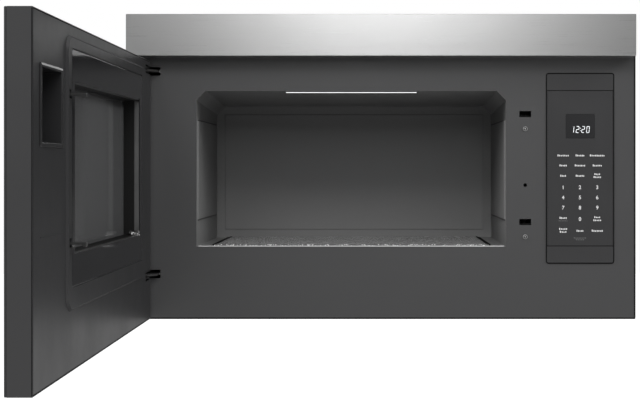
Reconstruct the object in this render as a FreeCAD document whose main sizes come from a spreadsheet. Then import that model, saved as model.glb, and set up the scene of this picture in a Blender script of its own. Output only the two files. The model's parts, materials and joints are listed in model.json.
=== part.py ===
import FreeCAD, Part
import math
import os
import re

import Sketcher

# An over the range microwave with a full-width door on left-hand hinges.
# Millimetres. X runs along the wall to the right, Z is up, and the wall is the plane Y = 0,
# so the oven's front is at the lowest Y. X = 0 is the body's centre and Z = 0 its mid-height.
# The door and its latch are drawn shut and then turned about the hinge pins to stand open.

SIZES = [
    # the casing
    ("body_width", 758.8, "outside width, made for a 762 mm wide gap between cabinets"),
    ("body_height", 454, "outside height"),
    ("body_depth", 366, "from the wall to the front frame's face"),
    ("casing_steel", 1, "thickness of the casing's sheets"),
    ("flange_width", 11, "width of the side sheets' turned-in flanges"),
    ("frame_steel", 1.2, "thickness of the front frame"),
    ("strip_height", 61.2, "height of the stainless strip above the door"),
    ("strip_drop", 2.7, "from the body's upper edge to the strip's"),
    ("strip_inset", 4.8, "how much narrower the strip is than the body at each side"),
    # the cooking cavity
    ("side_margin", 104.2, "from the body's left side to the cavity"),
    ("controls_margin", 192.9, "from the cavity to the body's right side"),
    ("head_margin", 113.9, "from the body's upper edge to the cavity's mouth"),
    ("foot_margin", 108.1, "from the cavity's mouth to the body's lower edge"),
    ("cavity_depth", 285, "from the frame's face to the cavity's back wall"),
    ("cavity_chamfer", 14, "slanted corner between the ceiling and the side walls"),
    ("ceiling_fall", 11.5, "how much lower the ceiling is at the back"),
    ("liner_steel", 0.9, "thickness of the cavity's sheet"),
    ("emboss_depth", 1.4, "height of the pressed panels in the cavity's walls"),
    ("emboss_margin", 14, "plain border round a pressed panel"),
    ("emboss_fall", 44.1, "from the mouth's upper edge to the side walls' pressed panels"),
    ("emboss_rise", 39.9, "from the cavity's floor to the side walls' pressed panels"),
    # the ceramic floor and the stirrer below it
    ("floor_margin", 24.85, "from the cavity's side walls to the floor plate"),
    ("floor_back_gap", 18, "from the cavity's back wall to the floor plate"),
    ("floor_thick", 3.5, "thickness of the ceramic floor plate"),
    ("floor_setback", 17, "from the frame's face to the floor plate"),
    ("seal_width", 3.5, "width of the rubber strip beside the floor plate"),
    ("pan_ledge", 10, "width of the stirrer pan's rim"),
    ("pan_depth", 24, "depth of the stirrer pan below its rim"),
    ("stirrer_radius", 92, "reach of the stirrer's blades"),
    ("stirrer_shaft_radius", 4, "radius of the stirrer's shaft"),
    ("stirrer_motor_radius", 25, "radius of the stirrer's motor"),
    ("stirrer_motor_height", 15, "height of the stirrer's motor"),
    ("waveguide_width", 84, "width of the waveguide"),
    ("waveguide_height", 38, "height of the waveguide"),
    ("waveguide_end", 1.5, "how far the waveguide runs on beyond the magnetron"),
    # the light behind the mouth's upper edge
    ("light_length", 195, "length of the cavity's light bar"),
    ("light_depth", 7, "width of the light bar from front to back"),
    ("light_drop", 2.5, "how far the light bar shows below the ceiling"),
    ("light_height", 9, "height of the light bar's strip"),
    # the controls
    ("panel_inset", 31.85, "from the body's right side to the control panel"),
    ("panel_width", 101.9, "width of the control panel's bezel"),
    ("panel_drop", 87.2, "from the body's upper edge to the bezel"),
    ("panel_rise", 82.6, "from the body's lower edge to the bezel"),
    ("panel_proud", 1.2, "how far the bezel stands out from the frame"),
    ("panel_lap", 3.4, "how far the bezel laps over the frame's cut-out"),
    ("panel_corner", 4, "radius of the bezel's corners"),
    ("panel_box", 13, "depth of the bezel's box behind the frame's face"),
    ("panel_wall", 2, "thickness of the bezel's walls"),
    ("keypad_top_inset", 26.5, "from the bezel's upper edge to the keypad sheet"),
    ("keypad_low_inset", 26.7, "from the bezel's lower edge to the keypad sheet"),
    ("keypad_inset", 2.4, "from the bezel's side to the keypad sheet"),
    ("keypad_thick", 0.8, "thickness of the keypad sheet"),
    ("keypad_gap", 0.25, "gap round the keypad sheet and the display window"),
    ("window_width", 42.7, "width of the clock's window"),
    ("window_height", 35.9, "height of the clock's window"),
    ("window_side", 29.85, "from the bezel's left side to the clock's window"),
    ("window_drop", 61.4, "from the bezel's upper edge to the clock's window"),
    ("board_thick", 1.6, "thickness of a circuit board"),
    # the latch
    ("hook_margin", 28.5, "from the cavity's right side to the latch hooks' middle"),
    ("upper_hook_drop", 34.6, "from the mouth's upper edge to the upper latch slot's middle"),
    ("lower_hook_rise", 36.5, "from the cavity's floor to the lower latch slot's middle"),
    ("latch_slot_width", 17.6, "width of a latch slot"),
    ("latch_slot_height", 9.2, "height of a latch slot"),
    ("hook_width", 10, "width of a latch hook"),
    ("hook_reach", 21, "from the door's inner skin to a hook's nose"),
    ("hook_nose", 4.4, "length of a hook's nose"),
    ("hook_lift", 3.2, "how far the hooks rise to clear their catches"),
    ("screw_radius", 2, "radius of the small screws' shanks"),
    ("screw_head", 3.5, "radius of the small screws' heads"),
    ("screw_drop", 22, "from a latch slot's middle to the screw below it"),
    ("sensor_hole", 2.65, "radius of the small round hole beside the cavity"),
    ("sensor_drop", 25.4, "how far the small round hole lies below the slots' midpoint"),
    ("plunger_radius", 1.4, "radius of a switch's plunger"),
    ("plunger_travel", 1.5, "how far a plunger can be pressed in"),
    # the hinges
    ("hinge_inset", 16.9, "from the body's left side to the hinge pins"),
    ("hinge_out", 28, "how far the hinge pins stand out from the frame's face"),
    ("upper_hinge_drop", 13.8, "from the door's upper edge to the upper hinge"),
    ("lower_hinge_rise", 64.7, "from the door's lower edge to the lower hinge"),
    ("hinge_slot_inset", 11.5, "from the hinge pins to the hinge slots"),
    ("hinge_slot_width", 23, "width of a hinge slot"),
    ("hinge_slot_height", 12.5, "height of a hinge slot"),
    ("hinge_plate", 3, "thickness of a hinge arm"),
    ("hinge_pin", 2, "radius of a hinge pin"),
    ("pin_length", 16, "length of a hinge pin"),
    ("ear_thick", 2, "thickness of the door's hinge ears"),
    ("ear_reach", 38, "from the hinge pins to the ears' web"),
    ("web_height", 22, "height of the web that joins two ears"),
    ("foot_height", 52, "height of a hinge arm's foot"),
    ("hinge_eye", 3.5, "radius of a hinge arm's eye"),
    ("running_gap", 0.05, "radial clearance of a shaft in its hole"),
    ("plunger_out", 3, "how far a plunger stands out of its switch"),
    ("switch_width", 5.8, "width of a switch"),
    ("switch_height", 19, "height of a switch"),
    ("switch_depth", 16, "depth of a switch"),
    ("plunger_seat", 6, "depth of a plunger's bore without its travel"),
    ("ledge_height", 4.8, "height of a hook's ledge"),
    ("shelf_thick", 3, "thickness of a switch's shelf"),
    ("side_gap", 0.3, "clearance between pieces that move past each other"),
    ("door_open", 90, "angle in degrees that the door stands open at rest"),
    # the door
    ("door_side_gap", 1, "how much narrower the door is than the body at each side"),
    ("door_top_gap", 7.1, "from the stainless strip to the door"),
    ("door_low_gap", 2.5, "from the body's lower edge to the door's"),
    ("door_standoff", 6, "from the frame's face to the shut door's inner skin"),
    ("door_thick", 28, "from the door's inner skin to its outer face"),
    ("door_glass", 2.2, "thickness of the door's outer glass"),
    ("door_wall", 2, "thickness of the door's side walls"),
    ("door_round", 8, "width of the slanted edge inside the door at the hinges"),
    ("skin_thick", 1, "thickness of the door's inner skin"),
    ("pad_proud", 3.2, "how far the raised pad stands out from the skin"),
    ("pad_over_left", 30.8, "how far the pad reaches beyond the mouth on the left"),
    ("pad_over_right", 41.5, "how far the pad reaches beyond the mouth on the right"),
    ("pad_over_top", 29.9, "how far the pad reaches above the mouth"),
    ("pad_over_low", 39.1, "how far the pad reaches below the mouth"),
    ("pad_round", 24, "radius of the pad's corners"),
    ("pad_bevel", 3, "width of the slope round the pad"),
    ("pad_lap", 3, "how far the pad laps over the skin's opening"),
    ("surround_in_left", 34, "from the pad's left side to the window surround"),
    ("surround_in_right", 21, "from the pad's right side to the window surround"),
    ("surround_in_top", 15, "from the pad's upper side to the window surround"),
    ("surround_in_low", 27, "from the pad's lower side to the window surround"),
    ("surround_thick", 1.4, "thickness of the window surround"),
    ("surround_gap", 1, "gap round the window surround"),
    ("sight_in_left", 20.3, "width of the surround's left side"),
    ("sight_in_right", 15, "width of the surround's right side"),
    ("sight_in_top", 35.4, "width of the surround's upper side"),
    ("sight_in_low", 35.7, "width of the surround's lower side"),
    ("reveal_depth", 7.8, "depth of the pale ring round the window"),
    ("reveal_wall", 1.6, "thickness of the pale ring"),
    ("screen_depth", 22.1, "from the skin to the perforated screen"),
    ("screen_thick", 0.6, "thickness of the perforated screen"),
    ("inner_glass_thick", 2.6, "thickness of the clear pane before the screen"),
    ("choke_in_left", 6, "from the pad's left side to the choke pan's wall"),
    ("choke_in_right", 7, "from the surround's right side to the choke pan's wall"),
    ("choke_in_top", 8, "from the surround's upper side to the choke pan's wall"),
    ("choke_in_low", 7, "from the surround's lower side to the choke pan's wall"),
    ("choke_steel", 1, "thickness of the choke pan"),
    ("well_over_side", 30.6, "how far the clock window's frame in the door clears the window at the sides"),
    ("well_over_top", 25.6, "how far the frame clears the window above"),
    ("well_over_low", 22.9, "how far the frame clears the window below"),
    ("well_side", 6.5, "width of the frame's rim at the sides"),
    ("well_rim", 4.6, "width of the frame's rim at top and bottom"),
    ("well_lap", 2, "how far the frame's rim laps over the skin's opening"),
    ("well_proud", 1.5, "how far the frame stands out from the skin"),
    ("well_wall", 1.6, "thickness of the frame's tube"),
    ("grip_length", 140, "length of the finger grip in the door's lower edge"),
    ("grip_inset", 33.4, "from the door's free end to the finger grip"),
    ("grip_depth", 15, "how deep fingers reach into the grip"),
    ("grip_width", 14, "opening of the grip from front to back"),
    # the power supply and its cooling
    ("magnetron_gap", 23.5, "from the cavity's right side to the magnetron"),
    ("magnetron_width", 84, "width of the magnetron"),
    ("magnetron_height", 100, "height of the magnetron"),
    ("magnetron_depth", 64, "depth of the magnetron"),
    ("anode_radius", 20, "radius of the magnetron's anode"),
    ("aerial_radius", 9, "radius of the magnetron's aerial"),
    ("aerial_length", 22, "how far the aerial reaches into the waveguide"),
    ("fin_count", 6, "cooling fins on the magnetron"),
    ("transformer_width", 68, "width of the transformer"),
    ("transformer_depth", 92, "depth of the transformer"),
    ("transformer_height", 78, "height of the transformer"),
    ("capacitor_radius", 25, "radius of the capacitor"),
    ("capacitor_height", 92, "height of the capacitor"),
    ("fan_radius", 56, "radius of the cooling fan's blades"),
    ("fan_hub", 14, "radius of the cooling fan's hub"),
    ("fan_blades", 5, "blades on the cooling fan"),
    ("fan_inset", 93.4, "from the body's right side to the cooling fan's shaft"),
    ("fan_rise", 157, "from the body's lower edge to the cooling fan's shaft"),
    ("transformer_gap", 4, "from the casing to the transformer"),
    ("transformer_back", 36, "from the wall to the transformer"),
    ("capacitor_gap", 49.8, "from the transformer to the capacitor's middle"),
    ("fan_back", 44, "from the wall to the cooling fan's plate"),
    ("fan_hub_length", 14, "length of the cooling fan's hub"),
    ("fan_vane", 30, "width of the cooling fan's blades"),
    ("fan_tip_gap", 3, "gap between the cooling fan's blades and its plate"),
    ("fan_motor_width", 52, "width of the cooling fan's motor"),
    ("fan_motor_depth", 20, "depth of the cooling fan's motor"),
    ("bracket_steel", 1.5, "thickness of the cooling fan's plate"),
    ("shaft_radius", 3, "radius of the fans' shafts"),
    # the ventilation
    ("duct_width", 254, "width of the exhaust outlet, for a 10 by 3.25 inch duct"),
    ("duct_depth", 82.6, "depth of the exhaust outlet"),
    ("duct_back", 30, "from the wall to the exhaust outlet"),
    ("duct_rise", 16, "how far the exhaust collar stands above the casing"),
    ("collar_wall", 1.2, "thickness of the exhaust collar"),
    ("flap_thick", 1.2, "thickness of the exhaust flap"),
    ("flap_pin", 2, "radius of the exhaust flap's pivots"),
    ("wheel_radius", 44, "radius of the blower's wheels"),
    ("wheel_length", 56, "length of a blower wheel"),
    ("wheel_blades", 24, "blades on a blower wheel"),
    ("blower_y", 72, "from the wall to the blower's shaft"),
    ("blower_drop", 63, "from the body's upper edge to the blower's shaft"),
    ("blower_motor_radius", 36, "radius of the blower's motor"),
    ("blower_motor_length", 62, "length of the blower's motor"),
    ("housing_wall", 1.5, "thickness of the blower's housings"),
    ("filter_width", 262, "width of a grease filter"),
    ("filter_depth", 160, "depth of a grease filter"),
    ("filter_thick", 8, "thickness of a grease filter"),
    ("filter_x", 205, "distance of a grease filter's centre from the body's"),
    ("filter_setback", 70, "from the frame's face to the grease filters"),
    ("filter_frame", 9, "width of a grease filter's frame"),
    ("filter_gap", 0.4, "gap round a grease filter"),
    ("lamp_width", 76, "width of the cooktop lamp's lens"),
    ("lamp_depth", 44, "depth of the cooktop lamp's lens"),
    ("lamp_setback", 110, "from the frame's face to the cooktop lamp"),
    # fixings
    ("cord_hole", 12.7, "radius of the cord's hole in the top panel"),
    ("cord_bore", 4.5, "radius of the bush's bore for the cord"),
    ("cord_inset", 79.4, "from the body's right side to the cord's bush"),
    ("cord_back", 60, "from the wall to the cord's bush"),
    ("bolt_radius", 3.5, "radius of the holes for the cabinet bolts"),
    ("bolt_spacing", 584, "distance between the cabinet bolts"),
    ("bolt_back", 290, "from the wall to the cabinet bolts"),
    ("wall_slot_spacing", 560, "distance between the wall plate's slots"),
    ("wall_slot_length", 38, "length of a wall slot"),
    ("wall_slot_radius", 4, "half the height of a wall slot"),
    ("wall_slot_rise", 30, "from the body's lower edge to the wall slots"),
]

NAMES = {name for name, _, _ in SIZES}

doc = FreeCAD.newDocument("over_range_microwave")
sheet = doc.addObject("Spreadsheet::Sheet", "Sizes")
for row, (alias, value, note) in enumerate(SIZES, 1):
    sheet.set(f"A{row}", alias)
    sheet.set(f"B{row}", str(value))
    sheet.set(f"C{row}", note)
    sheet.setAlias(f"B{row}", alias)
doc.recompute()

X, Y, Z = FreeCAD.Vector(1, 0, 0), FreeCAD.Vector(0, 1, 0), FreeCAD.Vector(0, 0, 1)
TURNS = {
    "x": FreeCAD.Rotation(Y, 90),
    "y": FreeCAD.Rotation(X, -90),
    "z": FreeCAD.Rotation(),
}

# Places that many pieces share, worked out from the sheet's sizes
PLACES = {
    "cavity_middle": "(side_margin-controls_margin)/2",
    "cavity_left": "-body_width/2+side_margin",
    "cavity_right": "body_width/2-controls_margin",
    "cavity_top": "body_height/2-head_margin",
    "cavity_floor": "-body_height/2+foot_margin",
    "floor_half": "(body_width-side_margin-controls_margin)/2-floor_margin",
    "floor_back": "-body_depth+cavity_depth-floor_back_gap",
    "stirrer_y": "-body_depth+(cavity_depth+floor_setback-floor_back_gap)/2",
    "rim_top": "cavity_floor-liner_steel",
    "guide_top": "rim_top-casing_steel-pan_depth",
    "guide_low": "guide_top-waveguide_height",
    "guide_end": "magnetron_x+magnetron_width/2+waveguide_end",
    "magnetron_x": "cavity_right+magnetron_gap+magnetron_width/2",
    "fan_x": "body_width/2-fan_inset",
    "fan_z": "-body_height/2+fan_rise",
    "transformer_right": "body_width/2-casing_steel-transformer_gap",
    "capacitor_x": "transformer_right-transformer_width-capacitor_gap",
    "capacitor_y": "-transformer_back-transformer_depth/2-7",
    "blower_z": "body_height/2-blower_drop",
    "flap_y": "-duct_back-collar_wall-6",
    "flap_z": "body_height/2+5",
    "cord_x": "body_width/2-cord_inset",
    "panel_right": "body_width/2-panel_inset",
    "panel_left": "panel_right-panel_width",
    "panel_top": "body_height/2-panel_drop",
    "panel_low": "-body_height/2+panel_rise",
    "keypad_top": "panel_top-keypad_top_inset",
    "keypad_low": "panel_low+keypad_low_inset",
    "window_left": "panel_left+window_side",
    "window_right": "window_left+window_width",
    "window_top": "panel_top-window_drop",
    "window_low": "window_top-window_height",
    "board_front": "body_depth-panel_box",
    "hook_x": "cavity_right+hook_margin",
    "upper_hook_z": "cavity_top-upper_hook_drop",
    "lower_hook_z": "cavity_floor+lower_hook_rise",
    "upper_screw_z": "upper_hook_z-screw_drop",
    "lower_screw_z": "lower_hook_z-screw_drop",
    "sensor_z": "(upper_hook_z+lower_hook_z)/2-sensor_drop",
    "nose_tip": "-body_depth-door_standoff+hook_reach",
    "nose_front": "nose_tip-hook_nose",
    "ledge_back": "nose_front-2*side_gap",
    "plunger_front": "nose_tip+side_gap",
    "switch_front": "plunger_front+plunger_out",
    "hinge_x": "-body_width/2+hinge_inset",
    "hinge_y": "-body_depth-hinge_out",
    "slot_left": "hinge_x+hinge_slot_inset",
    "slot_right": "slot_left+hinge_slot_width",
    "upper_hinge_z": "door_top-upper_hinge_drop",
    "lower_hinge_z": "door_low+lower_hinge_rise",
    "skin": "body_depth+door_standoff",
    "shell_back": "skin+door_thick-door_glass",
    "door_left": "-body_width/2+door_side_gap",
    "door_right": "body_width/2-door_side_gap",
    "strip_top": "body_height/2-strip_drop",
    "strip_low": "strip_top-strip_height",
    "strip_face": "skin+door_thick",
    "door_top": "strip_low-door_top_gap",
    "door_low": "-body_height/2+door_low_gap",
    "pad_left": "cavity_left-pad_over_left",
    "pad_right": "cavity_right+pad_over_right",
    "pad_top": "cavity_top+pad_over_top",
    "pad_low": "cavity_floor-pad_over_low",
    "surround_left": "pad_left+surround_in_left",
    "surround_right": "pad_right-surround_in_right",
    "surround_top": "pad_top-surround_in_top",
    "surround_low": "pad_low+surround_in_low",
    "sight_left": "surround_left+sight_in_left",
    "sight_right": "surround_right-sight_in_right",
    "sight_top": "surround_top-sight_in_top",
    "sight_low": "surround_low+sight_in_low",
    "choke_left": "pad_left+choke_in_left",
    "choke_right": "surround_right-choke_in_right",
    "choke_top": "surround_top-choke_in_top",
    "choke_low": "surround_low+choke_in_low",
    "well_left": "window_left-well_over_side",
    "well_right": "window_right+well_over_side",
    "well_top": "window_top+well_over_top",
    "well_low": "window_low-well_over_low",
    "grip_right": "door_right-grip_inset",
    "grip_left": "grip_right-grip_length",
    "bar_back": "-skin-skin_thick-5",
    "bar_front": "bar_back-6",
}
LEFT, RIGHT = "-body_width/2", "body_width/2"
LOW, TOP = "-body_height/2", "body_height/2"
INNER_LEFT, INNER_RIGHT = f"{LEFT}+casing_steel", f"{RIGHT}-casing_steel"
INNER_LOW, INNER_TOP = f"{LOW}+casing_steel", f"{TOP}-casing_steel"
FRAME_BACK = "-body_depth+frame_steel"
HOOKS = (("upper", "upper_hook_z"), ("lower", "lower_hook_z"))
HINGES = (("upper", "upper_hinge_z"), ("lower", "lower_hinge_z"))
SWITCHES = (
    ("primary", "upper_hook_z", "hook_x-switch_width/2-running_gap*2"),
    ("monitor", "upper_hook_z", "hook_x+switch_width/2+running_gap*2"),
    ("secondary", "lower_hook_z", "hook_x"),
)
PAD_SPAN = ("pad_left", "pad_right", "pad_low", "pad_top")
SURROUND_SPAN = ("surround_left", "surround_right", "surround_low", "surround_top")
WELL_SPAN = ("well_left", "well_right", "well_low", "well_top")

kept = []
swinging = []


def formula(text):
    """A formula in the sheet's sizes, as the document's expressions write it."""
    def word(match):
        name = match[0]
        if name in PLACES:
            return f"({formula(PLACES[name])})"
        return f"Sizes.{name}" if name in NAMES else name

    return re.sub(r"[a-z][a-z_]*", word, text)


def number(text):
    return float(sheet.evalExpression(formula(text)))


def bind(thing, path, text):
    thing.setExpression(path, formula(str(text)))


def keep(thing, label, with_door=False):
    """Hand in one finished piece under its own name."""
    thing.Label = label
    kept.append(thing)
    if with_door:
        swinging.append(thing)
    return thing


# ---------------------------------------------------------------- plain solids


def block(name, x, y, z):
    """A box between three pairs of formulas."""
    box = doc.addObject("Part::Box", name)
    for side, along, (low, high) in zip(("Length", "Width", "Height"), "xyz", (x, y, z)):
        bind(box, side, f"({high})-({low})")
        bind(box, f"Placement.Base.{along}", low)
    return box


def rod(name, axis, radius, start, length):
    """A cylinder along an axis, from the centre of its first end."""
    solid = doc.addObject("Part::Cylinder", name)
    solid.Placement = FreeCAD.Placement(FreeCAD.Vector(), TURNS[axis])
    bind(solid, "Radius", radius)
    bind(solid, "Height", length)
    for along, place in zip("xyz", start):
        bind(solid, f"Placement.Base.{along}", place)
    return solid


def join(name, pieces):
    solid = doc.addObject("Part::MultiFuse", name)
    solid.Shapes = pieces
    return solid


def group(name, pieces):
    """Like pieces that stay apart."""
    solid = doc.addObject("Part::Compound", name)
    solid.Links = pieces
    return solid


def cut(name, base, tools):
    solid = doc.addObject("Part::Cut", name)
    solid.Base = base
    solid.Tool = tools[0] if len(tools) == 1 else join(f"{name}_holes", tools)
    return solid


# ---------------------------------------------------------------- sketched solids


def new_sketch(body, plane, offset):
    """A sketch on one of the body's own planes, moved along the plane's normal."""
    origin_plane = next(f for f in body.Origin.OriginFeatures if f.Role == f"{plane}_Plane")
    sketch = body.newObject("Sketcher::SketchObject", f"{body.Name}_sketch")
    sketch.AttachmentSupport = [(origin_plane, "")]
    sketch.MapMode = "FlatFace"
    bind(sketch, "AttachmentOffset.Base.z", offset)
    return sketch


def fix_point(sketch, edge, end, across, up):
    """Tie one end of a sketched edge to its place."""
    for kind, text in (("DistanceX", across), ("DistanceY", up)):
        index = sketch.addConstraint(Sketcher.Constraint(kind, -1, 1, edge, end, number(text)))
        bind(sketch, f"Constraints[{index}]", text)


def draw_outline(sketch, points):
    """A closed outline of straight edges through pairs of formulas."""
    places = [FreeCAD.Vector(number(across), number(up), 0) for across, up in points]
    following = places[1:] + places[:1]
    edges = [sketch.addGeometry(Part.LineSegment(a, b)) for a, b in zip(places, following)]
    for edge, after in zip(edges, edges[1:] + edges[:1]):
        sketch.addConstraint(Sketcher.Constraint("Coincident", edge, 2, after, 1))
    for edge, (across, up) in zip(edges, points):
        fix_point(sketch, edge, 1, across, up)


def draw_rectangle(sketch, left, right, low, high):
    draw_outline(sketch, [(left, low), (right, low), (right, high), (left, high)])


def draw_circle(sketch, across, up, radius):
    centre = FreeCAD.Vector(number(across), number(up), 0)
    edge = sketch.addGeometry(Part.Circle(centre, FreeCAD.Vector(0, 0, 1), number(radius)))
    fix_point(sketch, edge, 3, across, up)
    index = sketch.addConstraint(Sketcher.Constraint("Radius", edge, number(radius)))
    bind(sketch, f"Constraints[{index}]", radius)


def draw_rounded(sketch, left, right, low, high, radius):
    """A rectangle with round corners: eight fixed joints, and an arc across each corner."""
    x0, x1, z0, z1 = (number(text) for text in (left, right, low, high))
    r = number(radius)
    near, far = f"({left})+({radius})", f"({right})-({radius})"
    under, over = f"({low})+({radius})", f"({high})-({radius})"
    joints = [(near, low), (far, low), (right, under), (right, over),
              (far, high), (near, high), (left, over), (left, under)]
    places = [FreeCAD.Vector(number(a), number(b), 0) for a, b in joints]
    centres = [(x1 - r, z0 + r), (x1 - r, z1 - r), (x0 + r, z1 - r), (x0 + r, z0 + r)]
    sides, corners = [], []
    for turn, (cx, cz) in enumerate(centres):
        start, end = places[2 * turn], places[2 * turn + 1]
        sides.append(sketch.addGeometry(Part.LineSegment(start, end)))
        circle = Part.Circle(FreeCAD.Vector(cx, cz, 0), FreeCAD.Vector(0, 0, 1), r)
        begin = math.radians(270 + 90 * turn)
        corners.append(sketch.addGeometry(Part.ArcOfCircle(circle, begin, begin + math.pi / 2)))
    for turn in range(4):
        sketch.addConstraint(Sketcher.Constraint("Coincident", sides[turn], 2, corners[turn], 1))
        following = sides[(turn + 1) % 4]
        sketch.addConstraint(Sketcher.Constraint("Coincident", corners[turn], 2, following, 1))
        fix_point(sketch, sides[turn], 1, *joints[2 * turn])
        fix_point(sketch, sides[turn], 2, *joints[2 * turn + 1])
        index = sketch.addConstraint(Sketcher.Constraint("Radius", corners[turn], r))
        bind(sketch, f"Constraints[{index}]", radius)


def new_body(name):
    return doc.addObject("PartDesign::Body", name)


def pad(body, sketch, length):
    feature = body.newObject("PartDesign::Pad", f"{body.Name}_pad")
    feature.Profile = sketch
    bind(feature, "Length", length)
    sketch.Visibility = False
    return feature


def pocket(body, sketch, depth):
    """Cut back into the solid, against the sketch's normal."""
    feature = body.newObject("PartDesign::Pocket", f"{body.Name}_pocket")
    feature.Profile = sketch
    bind(feature, "Length", depth)
    sketch.Visibility = False
    doc.recompute()
    before = feature.BaseFeature.Shape.Volume
    if feature.Shape.Volume > before - 0.01:
        raise ValueError(f"{feature.Name} cuts nothing")
    return feature


def loft(body, kind, sketches):
    feature = body.newObject(f"PartDesign::{kind}Loft", f"{body.Name}_loft")
    feature.Profile = sketches[0]
    feature.Sections = sketches[1:]
    feature.Ruled = True
    return feature


def sheet_metal(name, plane, start, thick, outline, holes=(), rounds=()):
    """A flat sheet with square holes and round holes."""
    body = new_body(name)
    sketch = new_sketch(body, plane, start)
    draw_rectangle(sketch, *outline)
    for hole in holes:
        draw_rectangle(sketch, *hole)
    for hole in rounds:
        draw_circle(sketch, *hole)
    pad(body, sketch, thick)
    return body


def rounded_plate(name, start, thick, outline, radius, holes=()):
    """An upright plate facing the room, with round corners and square holes."""
    body = new_body(name)
    sketch = new_sketch(body, "XZ", start)
    draw_rounded(sketch, *outline, radius)
    for hole in holes:
        draw_rectangle(sketch, *hole)
    pad(body, sketch, thick)
    return body


# ---------------------------------------------------------------- the casing


def make_back_panel():
    low = f"{LOW}+wall_slot_rise"
    slots = []
    for side in ("-", "+"):
        centre = f"{side}wall_slot_spacing/2"
        half = "(wall_slot_length/2-wall_slot_radius)"
        slots.append(block("wall_slot", (f"{centre}-{half}", f"{centre}+{half}"),
                           ("-2*casing_steel", "casing_steel"),
                           (f"{low}-wall_slot_radius", f"{low}+wall_slot_radius")))
        for end in ("-", "+"):
            start = (f"{centre}{end}{half}", "-2*casing_steel", low)
            slots.append(rod("wall_slot_end", "y", "wall_slot_radius", start, "3*casing_steel"))
    plate = block("back_plate", (LEFT, RIGHT), ("-casing_steel", "0"), (LOW, TOP))
    keep(cut("back_panel_solid", plate, slots), "back_panel")


def make_side_panels():
    """Each side is a sheet with a flange turned in behind the front frame."""
    for name, side, wall in (("left", "-1", LEFT), ("right", "1", RIGHT)):
        inner = f"({wall})-({side})*casing_steel"
        lip = f"({wall})-({side})*(casing_steel+flange_width)"
        low, high = (wall, inner) if side == "-1" else (inner, wall)
        near, far = (inner, lip) if side == "-1" else (lip, inner)
        plate = block(f"{name}_plate", (low, high), (FRAME_BACK, "-casing_steel"),
                      (INNER_LOW, INNER_TOP))
        flange = block(f"{name}_flange", (near, far),
                       (FRAME_BACK, f"{FRAME_BACK}+casing_steel"), (INNER_LOW, INNER_TOP))
        keep(join(f"{name}_side", [plate, flange]), f"{name}_side_panel")


def make_top_panel():
    duct = ("-duct_width/2", "duct_width/2", "-duct_back-duct_depth", "-duct_back")
    rounds = [("cord_x", "-cord_back", "cord_hole")]
    rounds += [(f"{side}bolt_spacing/2", "-bolt_back", "bolt_radius") for side in ("-", "+")]
    outline = (LEFT, RIGHT, FRAME_BACK, "-casing_steel")
    keep(sheet_metal("top_sheet", "XY", INNER_TOP, "casing_steel", outline, [duct], rounds),
         "top_panel")


def filter_span(side):
    """The grease filter's place in the base: left, right, front and back."""
    centre = f"{side}filter_x"
    front = "-body_depth+filter_setback"
    return (f"{centre}-filter_width/2", f"{centre}+filter_width/2",
            front, f"{front}+filter_depth")


def grown(span, by):
    left, right, low, high = span
    return (f"({left})-({by})", f"({right})+({by})", f"({low})-({by})", f"({high})+({by})")


def lamp_span():
    front = "-body_depth+lamp_setback"
    return ("-lamp_width/2", "lamp_width/2", front, f"{front}+lamp_depth")


def make_base_panel():
    holes = [grown(filter_span(side), "filter_gap") for side in ("-", "+")]
    holes.append(grown(lamp_span(), "filter_gap"))
    outline = (LEFT, RIGHT, FRAME_BACK, "-casing_steel")
    keep(sheet_metal("base_sheet", "XY", LOW, "casing_steel", outline, holes), "base_panel")


def cavity_outline(grow, fall="0"):
    """The cavity's section seen from the front, grown outwards by a wall."""
    left, right = f"cavity_left-{grow}", f"cavity_right+{grow}"
    top, low = f"cavity_top+{grow}-{fall}", f"cavity_floor-{grow}"
    cut_in = f"(cavity_chamfer+{grow}*0.586)"
    return [(left, low), (right, low), (right, f"{top}-{cut_in}"),
            (f"{right}-{cut_in}", top), (f"{left}+{cut_in}", top), (left, f"{top}-{cut_in}")]


def make_front_frame():
    body = new_body("front_sheet")
    sketch = new_sketch(body, "XZ", "body_depth-frame_steel")
    draw_rounded(sketch, LEFT, RIGHT, LOW, TOP, "3")
    draw_outline(sketch, cavity_outline("0"))
    draw_rectangle(sketch, f"panel_left+panel_lap", f"panel_right-panel_lap",
                   "panel_low+panel_lap", "panel_top-panel_lap")
    for _, height in HOOKS:
        draw_rectangle(sketch, "hook_x-latch_slot_width/2", "hook_x+latch_slot_width/2",
                       f"{height}-latch_slot_height/2", f"{height}+latch_slot_height/2")
    for _, height in HINGES:
        draw_rectangle(sketch, "slot_left", "slot_right",
                       f"{height}-hinge_slot_height/2", f"{height}+hinge_slot_height/2")
    for height in ("upper_screw_z", "lower_screw_z"):
        draw_circle(sketch, "hook_x", height, "screw_radius+running_gap")
    draw_circle(sketch, "hook_x", "sensor_z", "sensor_hole")
    pad(body, sketch, "frame_steel")
    keep(body, "front_frame")


def make_vent_strip():
    """The stainless strip: a deep folded pan, hollow behind, level with the shut door."""
    body = new_body("strip")
    left, right = f"({LEFT}+strip_inset)", f"({RIGHT}-strip_inset)"
    sketch = new_sketch(body, "XZ", "body_depth")
    draw_rectangle(sketch, left, right, "strip_low", "strip_top")
    pad(body, sketch, "strip_face-body_depth")
    edges = new_sketch(body, "XZ", "strip_face-casing_steel")
    draw_rectangle(edges, f"{left}+casing_steel", f"{right}-casing_steel",
                   "strip_low+casing_steel", "strip_top-casing_steel")
    pocket(body, edges, "strip_face-body_depth")
    keep(body, "vent_strip")


# ---------------------------------------------------------------- the cavity


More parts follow.
